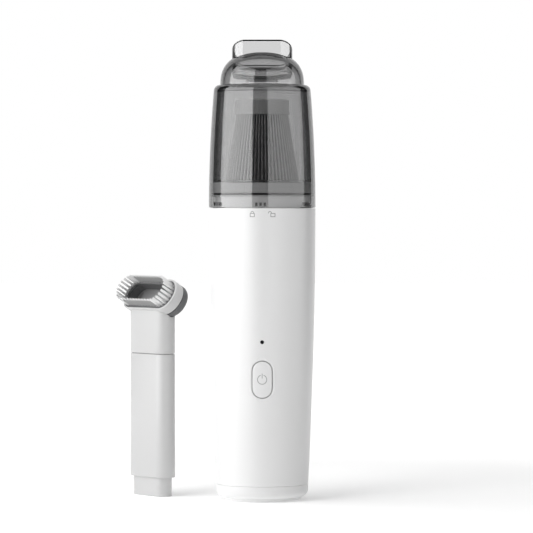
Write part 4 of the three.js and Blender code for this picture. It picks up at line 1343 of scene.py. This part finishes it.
shoulder_start = cup_height - shoulder_round
shoulder_radius = cup_radius(shoulder_start)
dome_radius = shoulder_radius - shoulder_round - shoulder_ledge


def cup_side(drawn_in, low, high, steps=12):
    """Points of the cup's side between two heights over its lower edge."""
    return [(cup_radius(h) - drawn_in, cup_bottom + h) for h in levels(low, high, steps)]


def dome_points(radius, height, steps=22):
    """Points of the dome from its rim to its top, as a quarter of a superellipse."""
    points = []
    for share in share_steps(steps):
        angle = math.radians(90 * share)
        reach = radius * math.cos(angle) ** (2 / dome_power) if share < 1 else 0
        points.append((reach, cup_bottom + cup_height + height * math.sin(angle) ** (2 / dome_power)))
    return points


print("the dome is", round(2 * dome_radius / mm, 1), "mm across")

# %% [markdown]
# The outer form has the rounded shoulder and the dome. The inner form leaves the wall between them, with a
# groove under the roof and one at the foot of the dome, whose edges show as dark lines. Three lugs stand
# inwards from the skirt.

# %% Cup shell
hem_round = 0.4 * mm
nozzle_fit = 0.3 * mm


def cup_outer_form():
    """The cup as if it were solid, with its back cut off by the slanted face."""
    shoulder = round_corner(
        (shoulder_radius - shoulder_round, cup_bottom + shoulder_start), shoulder_round, 0, 90, steps=10
    )
    outline = [
        (0, cup_bottom),
        (cup_base_radius - hem_round, cup_bottom),
        *cup_side(0, hem_round, shoulder_start),
        *shoulder[1:],
        *dome_points(dome_radius, dome_height),
    ]
    form = turned("dust_cup_smooth", outline, cup_sides)
    return carve(form, slope_block("facet", facet_degrees, nozzle_depth / 2, facet_top))


def cup_inner_form():
    """The space inside the cup, up into the dome, ending a wall's thickness under the slanted face."""
    roof = cup_height - roof_thickness
    bore = dome_radius - dome_wall
    dome_foot = cup_bottom + cup_height
    stop = roof_line - cup_bottom
    outline = [
        (0, cup_bottom - over),
        (cup_radius(0) - skirt_wall, cup_bottom - over),
        *cup_side(skirt_wall, 0, skirt_height, 4),
        *cup_side(cup_wall, skirt_height, stop - groove),
        (cup_radius(stop) - cup_wall - groove, roof_line),
        (cup_radius(stop) - cup_wall - groove, cup_bottom + roof),
        (bore, cup_bottom + roof),
        (bore, dome_foot - 2 * groove),
        (bore + groove, dome_foot - groove),
        (bore, dome_foot),
        *dome_points(bore, dome_height - dome_crown)[1:],
    ]
    form = turned("cup_space", outline, cup_sides)
    drop = dome_wall / math.cos(math.radians(facet_degrees))
    return carve(form, slope_block("facet", facet_degrees, nozzle_depth / 2, facet_top - drop))


dust_cup = cup_outer_form()
hole_span = (cup_bottom + cup_height - over, nozzle_high.z + over)
nozzle_hole = oval_block("nozzle_hole", *nozzle_outline, *hole_span, drawn_in=-nozzle_fit)
carve(dust_cup, cup_inner_form(), nozzle_hole)
for angle in lug_angles:
    lug = sector(
        "lug",
        neck_radius + skirt_gap - lug_depth,
        cup_radius(0) - skirt_wall + close_fit,
        angle - lug_arc / 2,
        angle + lug_arc / 2,
        cup_bottom + lug_lift,
        cup_bottom + lug_lift + lug_height,
    )
    fuse(dust_cup, lug)
finish_piece(dust_cup, smoked_plastic, "smoked_plastic", "dust_cup", "dust_cup_shell", smooth=24)

# %% [markdown]
# Three short bars mark the skirt over the padlocks. The ink lies just under the clear surface: a thin skin is
# turned inside the skirt's wall, and small blocks keep three pieces of it.

# %% Index marks
index_level = 191.9 * mm
index_height = 2.2 * mm
index_width = 1.5 * mm
index_pitch = 2.7 * mm
index_middle = -1 * mm


def index_marks():
    """Three bars of ink that stand in the skirt's surface."""
    low = index_level - index_height / 2 - cup_bottom
    high = low + index_height
    outside = cup_side(ink, low, high, 1)
    rooted = cup_side(ink + ink_root, low, high, 1)
    skin = turned("index_marks", [*outside, *reversed(rooted)], cup_sides)
    bars = []
    for i in (-1, 0, 1):
        left = index_middle + i * index_pitch - index_width / 2
        bars.append(plain_block(f"bar_{i}", (left, -beyond, 0), (left + index_width, 0, cup_high.z)))
    return keep_within(skin, joined(bars, "bars"))


finish_piece(index_marks(), print_dark, "dark_plastic", "dust_cup")

# %% [markdown]
# A second, thinner wall stands inside the cup, and shows as a dark line along both sides. It ends in a
# small bead over the filter's flange.

# %% Liner
liner_low, liner_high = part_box("dust_cup_liner")
liner_gap = 0.4 * mm
liner_wall = 1.5 * mm
liner_bead = 1.2 * mm


def liner_form():
    """The liner's closed outline, turned."""
    low = liner_low.z - cup_bottom
    high = liner_high.z - cup_bottom
    offset = cup_wall + liner_gap
    outside = cup_side(offset, low, high)
    inside = cup_side(offset + liner_wall, low + liner_bead, high)
    foot = (cup_radius(low) - offset - liner_wall - liner_bead / 2, liner_low.z)
    knee = (foot[0], liner_low.z + liner_bead / 2)
    return turned("liner_smooth", [*outside, *reversed(inside), knee, foot], cup_sides)


finish_piece(liner_form(), liner_plastic, "smoked_plastic", "dust_cup", "dust_cup_liner")

# %% [markdown]
# ## Mouth
# The mouth is a flat oval tube through the dome. Its rim slants down towards the back and is softly
# rounded. Two small ears under it hold the pin that the flap hangs on.

# %% Nozzle
nozzle_wall = 1.6 * mm
pin_low, pin_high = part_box("flap_pin")
pin_y = (pin_low.y + pin_high.y) / 2
pin_z = (pin_low.z + pin_high.z) / 2
flap_barrel = 1.5 * mm
tab_width = 17.4 * mm
ear_width = 1.6 * mm
ear_edge = 0.3 * mm
pin_hole_radius = 1.0 * mm
nozzle_sides = 96
nozzle_rim = 0.35 * mm
nozzle_bottom = rim_back - 10.5 * mm
seat_degrees = 12.5


def across_pin(name, radius, half, sides):
    """A rod that lies along the flap's pin."""
    return settle(rod(name, radius, -half, half, sides), move=(0, pin_y, pin_z), turn=(0, 90, 0))


def nozzle_form():
    """The oval tube with its slanted, rounded rim and its two ears."""
    top = nozzle_high.z + over
    tube = oval_block("nozzle_smooth", *nozzle_outline, nozzle_bottom, top, nozzle_sides)
    bore_span = (nozzle_bottom - over, top + 2 * over)
    bore = oval_block("nozzle_bore", *nozzle_outline, *bore_span, nozzle_sides, drawn_in=nozzle_wall)
    seat = slope_block("seat_plane", seat_degrees, nozzle_depth / 2, nozzle_bottom, side=-1)
    carve(tube, bore, slope_block("rim_plane", rim_degrees, -nozzle_depth / 2, nozzle_high.z), seat)
    soften(tube, nozzle_rim, segments=4, degrees=40)
    for side in (-1, 1):
        near = side * (tab_width / 2 + fit)
        far = near + side * ear_width
        ear = plain_block(
            "ear",
            (min(near, far), nozzle_depth / 2 - nozzle_wall + close_fit, pin_z - flap_barrel),
            (max(near, far), pin_y + flap_barrel, nozzle_bottom + 4 * fit),
        )
        soften(ear, ear_edge)
        fuse(tube, ear)
    return carve(tube, across_pin("pin_hole", pin_hole_radius, beyond, 24))


finish_piece(nozzle_form(), clear_plastic, "clear_plastic", "dust_cup", "intake_nozzle")

# %% [markdown]
# The flap is a thin rubbery tongue that closes the mouth from inside. The mouth's lower end slants, so the
# flap lies at the same slant, and its free front edge sags in the middle. It starts as a grid, whose points
# are lowered by a share of their place, gets its thickness, and is trimmed to the mouth's oval. A tab joins
# it to the barrel that turns on the pin.

# %% Flap
flap_low, flap_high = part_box("dust_flap")
flap_thickness = 1.2 * mm
flap_top = nozzle_bottom - fit
flap_sag = 2.6 * mm
flap_bend = 1.5
flap_grid = {"x_subdivisions": 36, "y_subdivisions": 18}
flap_back = nozzle_depth / 2 - nozzle_wall - 2 * fit
flap_width = flap_high.x - flap_low.x
flap_depth = flap_back - flap_low.y
flap_tab = 3 * mm
tab_inset = 0.05 * mm


def sagging_sheet():
    """A grid whose middle sags towards the front, made thick, and trimmed to a flat oval."""
    start_clean()
    bpy.ops.mesh.primitive_grid_add(**flap_grid, size=1, location=(0, 0, 0))
    sheet = newest("dust_flap_smooth", (flap_width + 2 * fit, flap_depth + 2 * fit, 1))
    for point in sheet.data.vertices:
        across = 1 - (2 * point.co.x / flap_width) ** 2
        forward = 0.5 - point.co.y / flap_depth
        point.co.z = -flap_sag * max(across, 0) * max(forward, 0) ** flap_bend
    apply_modifier(sheet, "SOLIDIFY", thickness=flap_thickness, offset=-1)
    outline = (flap_width, flap_depth, nozzle_corner - nozzle_wall)
    trim = oval_block("trim", *outline, -beyond, beyond, nozzle_sides)
    return keep_within(sheet, trim)


def flap_form():
    """The sheet at the slant of its seat, joined to its tab and barrel, and bored for the pin."""
    sheet = sagging_sheet()
    slant = math.radians(seat_degrees)
    middle_y = flap_back - flap_depth / 2 * math.cos(slant)
    middle_z = flap_top + flap_depth / 2 * math.sin(slant)
    settle(sheet, move=(0, middle_y, middle_z), turn=(-seat_degrees, 0, 0))
    tab = plain_block(
        "tab",
        (-tab_width / 2, flap_back - flap_tab, flap_top - flap_thickness + tab_inset),
        (tab_width / 2, pin_y, flap_top - tab_inset),
    )
    barrel_form = across_pin("barrel", flap_barrel, tab_width / 2, 48)
    fuse(sheet, tab, barrel_form)
    return carve(sheet, across_pin("bore", pin_hole_radius, beyond, 24))


finish_piece(flap_form(), flap_silicone, "black_rubber", "flap", "dust_flap")

# %% [markdown]
# ## Filter
# A pleated paper cone stands on a flange with a trough, under a plain cap. The flange rests on the seal, and
# its trough catches what falls off the paper.

# %% Filter base ring
ring_low, ring_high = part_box("filter_base_ring")
foot_radius = 24.5 * mm
foot_width = 5.5 * mm
ring_rim = 2 * mm
ring_floor = 2 * mm
ring_round = 0.35 * mm
ring_underside = seal_lip_top + close_fit
ring_step = seal_lip_inner - close_fit
ring_outline = [
    (foot_radius - foot_width, ring_low.z),
    (ring_step, ring_low.z),
    (ring_step, ring_underside),
    (ring_high.x - ring_round, ring_underside),
    (ring_high.x, ring_underside + ring_round),
    (ring_high.x, ring_high.z - ring_round),
    (ring_high.x - ring_round, ring_high.z),
    (ring_high.x - ring_rim + ring_round, ring_high.z),
    (ring_high.x - ring_rim, ring_high.z - ring_round),
    (ring_high.x - ring_rim, ring_underside + ring_floor + ring_round),
    (ring_high.x - ring_rim - ring_round, ring_underside + ring_floor),
    (foot_radius + ring_round, ring_underside + ring_floor),
    (foot_radius, ring_underside + ring_floor + ring_round),
    (foot_radius, ring_high.z),
    (foot_radius - foot_width, ring_high.z),
]
base_ring = turned("filter_base_smooth", ring_outline)
finish_piece(base_ring, filter_frame, "filter_frame", "filter_unit", "filter_base_ring")

# %% [markdown]
# The pleats start as a circle whose every second point is drawn in. The zigzag loop is extruded up and
# inwards, comes back down inside as the paper's other face, and each fold is rounded as paper is.

# %% Pleated paper
pleat_count = 60
pleat_paper = 1 * mm
pleat_fold = 0.22 * mm


def pleated_form():
    """The pleated cone: a zigzag loop extruded up and inwards, then given its paper's thickness."""
    piece = circle("filter_media_smooth", 2 * pleat_count, pleat_foot_radius, media_low.z, "NOTHING")
    bpy.ops.mesh.select_all(action="DESELECT")
    mesh = bmesh.from_edit_mesh(piece.data)
    for point in mesh.verts:
        point.select = point.index % 2 == 1
    bmesh.update_edit_mesh(piece.data)
    drawn_in = 1 - pleat_depth / pleat_foot_radius
    bpy.ops.transform.resize(value=(drawn_in, drawn_in, 1), center_override=(0, 0, media_low.z))
    bpy.ops.mesh.select_all(action="SELECT")
    tall = media_high.z - media_low.z
    top = pleat_top_radius / pleat_foot_radius
    inner_top = 1 - pleat_paper / pleat_top_radius
    inner_foot = 1 - pleat_paper / pleat_foot_radius
    next_loop(tall, top, media_high.z)
    next_loop(0, inner_top, media_high.z)
    next_loop(-tall, inner_foot / (top * inner_top), media_low.z)
    next_loop(0, 1 / inner_foot, media_low.z)
    return close_up(piece)


media = soften(pleated_form(), pleat_fold, segments=2, degrees=60)
finish_piece(media, filter_paper, "filter_paper", "filter_unit", "filter_media")

# %% [markdown]
# The cap closes the cone above. It is a shallow cup with a small brim and a rounded top edge.

# %% Filter cap
top_low, top_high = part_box("filter_top_cap")
filter_cap_wall = 1.6 * mm
filter_cap_brim = 0.6 * mm
filter_brim_height = 1 * mm
filter_cap_radius = top_high.x - filter_cap_brim
filter_cap_round = 0.9 * mm
brim_round = 0.15 * mm
filter_cap = turned(
    "filter_cap_smooth",
    [
        (0, top_high.z - filter_cap_wall),
        (pleat_top_radius - filter_cap_wall, top_high.z - filter_cap_wall),
        (pleat_top_radius - filter_cap_wall, top_low.z),
        (top_high.x - brim_round, top_low.z),
        (top_high.x, top_low.z + brim_round),
        (top_high.x, top_low.z + filter_brim_height - brim_round),
        (top_high.x - brim_round, top_low.z + filter_brim_height),
        (filter_cap_radius, top_low.z + filter_brim_height),
        *round_corner(
            (filter_cap_radius - filter_cap_round, top_high.z - filter_cap_round), filter_cap_round, 0, 90
        ),
        (0, top_high.z),
    ],
)
finish_piece(filter_cap, filter_frame, "filter_frame", "filter_unit", "filter_top_cap")

# %% [markdown]
# ## Brush tool
# The tool is modelled upright at the origin, with its brush looking towards the front, and is then turned
# and moved to where it stands. The tube is a flat oval with a narrower tongue below, which fits the mouth.

# %% Place of the tool
tool_place = (-72.3 * mm, 30 * mm, 0)
tool_turn = -52
tube_width = 39.2 * mm
tube_depth = 14.6 * mm
tube_wall = 1.5 * mm
tube_corner = 7 * mm
tongue_length = 12.6 * mm
tongue_width = 34 * mm
tongue_depth = 11.8 * mm
tongue_wall = 1.6 * mm
tube_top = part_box("extension_tube")[1].z
edge_soft = 0.45 * mm


def place_tool(piece):
    """Turns a finished piece of the tool and moves it to where the tool stands."""
    return settle(piece, move=tool_place, turn=(0, 0, tool_turn))


def flat_oval(name, width, depth, drawn_in, bottom, top):
    """The tube's oval outline, drawn in from the surface."""
    corner = min(tube_corner, depth / 2 - fit)
    return oval_block(name, width, depth, corner, bottom, top, drawn_in=drawn_in)


print("the tool stands", round(-tool_place[0] / mm, 1), "mm to the left")

# %% [markdown]
# The tube is softened at both ends before the tongue joins it, and is then bored through: wide in the tube,
# where the brush plugs in, and narrow in the tongue.

# %% Extension tube
def tube_form():
    """The tube and its tongue, softened at their ends and bored through."""
    tube = flat_oval("extension_tube_smooth", tube_width, tube_depth, 0, tongue_length, tube_top)
    soften(tube, edge_soft, segments=3)
    tongue = flat_oval("tongue", tongue_width, tongue_depth, 0, 0, tongue_length + tube_wall / 2)
    soften(tongue, edge_soft, segments=3)
    fuse(tube, tongue)
    bore = flat_oval("bore", tube_width, tube_depth, tube_wall, tongue_length + tube_wall, tube_top + over)
    passage = flat_oval("passage", tongue_width, tongue_depth, tongue_wall, -over, tube_top + over)
    return carve(tube, bore, passage)


extension = place_tool(tube_form())
finish_piece(extension, tool_plastic, "tool_plastic", "tool", "extension_tube")

# %% [markdown]
# The head looks forwards and down. It is drawn with its mouth upwards, x along the mouth and y across it,
# and then tilted onto the neck. A pale collar runs round the mouth, and a dark bowl closes it behind.

# %% Sizes of the head
seam_level = tube_top + fit
head_level = seam_level + 39 * mm
head_reach = 2.7 * mm
head_tilt = 30
plug_length = 8 * mm
mouth_length = 55 * mm
mouth_width = 22.8 * mm
collar_depth = 7 * mm
rim_wall = 1.2 * mm
backing_width = 2.4 * mm
backing_depth = 1.2 * mm
backing_ledge = 1.5 * mm
bowl_depth = 7 * mm
bowl_wall = 1.8 * mm
bowl_round = 5 * mm
bowl_round_loss = 0.6
head_sides = 96


def head_to_tool(piece):
    """Tilts a piece drawn in the head's own frame into its place on the neck."""
    return settle(piece, move=(0, -head_reach, head_level), turn=(90 - head_tilt, 0, 0))


def head_oval(name, drawn_in, bottom, top):
    """The head's outline between two depths, drawn in from the surface."""
    outline = (mouth_length, mouth_width, mouth_width / 2)
    return oval_block(name, *outline, bottom, top, head_sides, drawn_in)


def bowl_blank(name, drawn_in, top):
    """The bowl as a solid: an oval block whose back edge is rounded."""
    back = -collar_depth - bowl_depth + max(drawn_in, -fit)
    blank = head_oval(name, drawn_in, back, top)
    pick_up(blank)
    bpy.ops.object.mode_set(mode="EDIT")
    pick(blank, lambda co: co.z < back + weld)
    bpy.ops.mesh.bevel(offset=bowl_round - max(drawn_in, 0) * bowl_round_loss, segments=10, affect="EDGES")
    return head_to_tool(close_up(blank))


def air_passage():
    """The air's way from the mouth down into the tube."""
    bottom = seam_level - plug_length - over
    return flat_oval("air", tongue_width, tongue_depth, tongue_wall, bottom, head_level - collar_depth)


print("the head's middle is at", round(head_level / mm, 1), "mm")

# %% [markdown]
# The stem fits into the tube with a plug. The collar is softened before it joins the stem, and is then
# hollowed: a ledge inside its rim carries the strips of the bristles.

# %% Neck and collar of the brush
def brush_neck_form():
    """The oval stem with its plug below and the collar round the mouth above."""
    stem = flat_oval("brush_neck_smooth", tube_width, tube_depth, 0, seam_level, head_level)
    soften(stem, edge_soft, segments=3)
    carve(stem, bowl_blank("bowl_room", -fit, -collar_depth + fit))
    carve(stem, head_to_tool(head_oval("before_mouth", -over, 0, large / 2)))
    plug_wall = tube_wall + fit
    plug = flat_oval("plug", tube_width, tube_depth, plug_wall, seam_level - plug_length, seam_level + over)
    collar = head_oval("collar", 0, -collar_depth, 0)
    soften(collar, edge_soft, segments=3)
    fuse(stem, plug, head_to_tool(collar))
    ledge = rim_wall + fit + backing_ledge
    return carve(
        stem,
        air_passage(),
        head_to_tool(head_oval("hollow", ledge, -collar_depth - over, over)),
        head_to_tool(head_oval("seat", rim_wall, -backing_depth - fit, over)),
    )


brush_neck = place_tool(brush_neck_form())
finish_piece(brush_neck, tool_plastic, "tool_plastic", "brush_head", "brush_neck")

# %% [markdown]
# The bowl is dark, and so is the inside of the mouth: a thin sleeve on the bowl's edge reaches forwards
# through the collar and lines it. The inside is a little paler, and gets its finish from the pieces that
# shape it.

# %% Bowl
lining_inset = rim_wall + fit + backing_ledge + 0.05 * mm
lining_wall = 0.7 * mm
lining_front = -backing_depth - 0.6 * mm


def lining_form():
    """A sleeve inside the collar, with a flange behind it that reaches out to the bowl's wall."""
    seam = -collar_depth - fit
    sleeve = head_oval("sleeve", lining_inset, seam - lining_wall, lining_front)
    flange = head_oval("flange", bowl_wall - fit, seam - lining_wall, seam)
    fuse(sleeve, flange)
    carve(sleeve, head_oval("sleeve_space", lining_inset + lining_wall, -beyond, beyond))
    return head_to_tool(sleeve)


def bowl_form():
    """The closed back of the head, hollowed out, lined forwards, and open down into the neck."""
    bowl = bowl_blank("brush_bowl_smooth", 0, -collar_depth - fit)
    space = bowl_blank("bowl_space", bowl_wall, over)
    lining = lining_form()
    for part, finish in ((bowl, dark_plastic), (space, mouth_grey), (lining, mouth_grey)):
        part.data.materials.append(finish)
    carve(bowl, space)
    fuse(bowl, lining)
    return carve(bowl, air_passage())


brush_bowl = place_tool(bowl_form())
finish_piece(brush_bowl, None, "dark_plastic", "brush_head", "brush_bowl")

# %% [markdown]
# The bristles are white nylon. Light hardly reaches between their roots, so the finish is grey there and
# turns white towards the tips; the height is measured along the mouth's own axis. On the straight rows, where
# the tufts shade each other, only the tips are white. On the round ends the tufts stand free and are paler.

# %% Bristle finish
strand_length = 9.2 * mm
tip_tone = 0.97
head_turn = Matrix.Rotation(math.radians(tool_turn), 3, "Z")
head_axis = head_turn @ Matrix.Rotation(math.radians(90 - head_tilt), 3, "X") @ Vector((0, 0, 1))
mouth_middle = Vector(tool_place) + head_turn @ Vector((0, -head_reach, head_level))


def bristle_finish(name, root_tone, grey_to, white_from):
    """Nylon that is grey up to one share of the strands' height and white from another share on."""
    material = solid_finish(name, grey(tip_tone), 0.45, grain=0.1, tone=0.05)
    tree = material.node_tree
    along = {"operation": "DOT_PRODUCT"}
    height = add(tree, "VectorMath", object_place(tree), head_axis, settings=along).outputs["Value"]
    root = head_axis.dot(mouth_middle)
    low, high = (root + share * strand_length for share in (grey_to, white_from))
    tint = next(node for node in tree.nodes if node.bl_idname == "ShaderNodeMix")
    tree.links.new(map_range(tree, height, low, high, root_tone, tip_tone), tint.inputs["A"])
    return material


bristle_nylon = bristle_finish("bristle_nylon", 0.5, 0, 0.5)
bristle_nylon_shaded = bristle_finish("bristle_nylon_shaded", 0.44, 0.74, 0.92)
print("bristles are", round(strand_length / mm, 1), "mm long")

# %% [markdown]
# The bristles stand in tufts on a strip round the mouth. One strand is modelled, copied into a tuft, and
# the tuft is copied along the strip; the strands of a tuft lean outwards a little, and no two tufts have
# quite the same turn. The strips are dark like the mouth, and their dark colour also stands in for the shade
# between the tufts. The tufts of the straight rows are slimmer, so that each tuft shows for itself.

# %% Strand and tuft
strand_radius = 0.16 * mm
strand_sides = 4
strand_taper = 0.9
tip_share = 0.1
tip_taper = 0.6
tuft_rings = ((0, 1), (0.5, 6), (1, 12))
ring_shift = 0.37
tuft_splay = 0.25
tuft_turn = 47
straight_tufts = 10
arc_tufts = 10
straight_tuft_radius = 0.38 * mm
arc_tuft_radius = 0.62 * mm


def strand_form():
    """One strand: a four-sided rod that narrows a little to a blunt tip, rooted in the strip."""
    strand = circle("strand", strand_sides, strand_radius, -backing_depth / 2)
    tip = strand_length * tip_share
    shaft = backing_depth / 2 + strand_length - tip
    for rise, shrink in ((shaft, strand_taper), (tip, tip_taper)):
        bpy.ops.mesh.extrude_region_move(TRANSFORM_OT_translate={"value": (0, 0, rise)})
        bpy.ops.transform.resize(value=(shrink, shrink, 1))
    return close_up(strand)


def tuft_form(radius):
    """A round tuft of strands that lean outwards from its middle."""
    strand = strand_form()
    strands = []
    for share, count in tuft_rings:
        for i in range(count):
            angle = 360 * (i + share * ring_shift) / count
            one = copy_of(strand, f"strand_{len(strands)}")
            settle(one, turn=(0, tuft_splay * share, 0))
            settle(one, move=(radius * share, 0, 0))
            settle(one, turn=(0, 0, angle))
            strands.append(one)
    remove(strand)
    print("a tuft has", len(strands), "strands")
    return joined(strands, "tuft")


slim_tuft = tuft_form(straight_tuft_radius)
full_tuft = tuft_form(arc_tuft_radius)
slim_tuft.data.materials.append(bristle_nylon_shaded)
full_tuft.data.materials.append(bristle_nylon)

# %% [markdown]
# The strip has four slices, so that each can be seen as a piece of its own: two straight ones and two round
# ends. The tufts stand in the middle of their strip at even steps.

# %% Rows of tufts
backing_edge = 0.2 * mm
backing_outer = mouth_width / 2 - rim_wall - fit
backing_middle = backing_outer - backing_width / 2
mouth_straight = mouth_length - mouth_width
arc_steps = 36


def row_of_tufts(name, backing, tuft, places):
    """A strip with a tuft at every place, tilted into the head and placed with the tool."""
    soften(backing, backing_edge)
    # The strips' dark plastic also stands in for the shade between the tufts: partly painted shade.
    backing.data.materials.append(dark_plastic)
    tufts = []
    for i, (x, y) in enumerate(places):
        one = copy_of(tuft, f"{name}_tuft_{i}")
        settle(one, move=(x, y, 0), turn=(0, 0, tuft_turn * i))
        tufts.append(one)
    row = joined([backing, *tufts], name)
    head_to_tool(row)
    place_tool(row)
    return finish_piece(row, None, "bristle_nylon", "brush_head", name.replace("_smooth", ""))


for side, name in ((1, "bristles_upper_smooth"), (-1, "bristles_lower_smooth")):
    half = (mouth_straight - fit) / 2
    near, far = sorted((side * (backing_outer - backing_width), side * backing_outer))
    strip = plain_block(name, (-half, near, -backing_depth), (half, far, 0))
    steps = [(i + 0.5) / straight_tufts - 0.5 for i in range(straight_tufts)]
    row_of_tufts(name, strip, slim_tuft, [(mouth_straight * step, side * backing_middle) for step in steps])

for side, name in ((1, "bristles_right_smooth"), (-1, "bristles_left_smooth")):
    start = -90 if side > 0 else 90
    centre = side * mouth_straight / 2
    rim = (backing_outer - backing_width, backing_outer)
    strip = sector(name, *rim, start, start + 180, -backing_depth, 0, arc_steps)
    settle(strip, move=(centre + side * fit / 2, 0, 0))
    angles = [math.radians(start + 180 * (i + 0.5) / arc_tufts) for i in range(arc_tufts)]
    spots = [(centre + backing_middle * math.cos(a), backing_middle * math.sin(a)) for a in angles]
    row_of_tufts(name, strip, full_tuft, spots)
remove(slim_tuft)
remove(full_tuft)
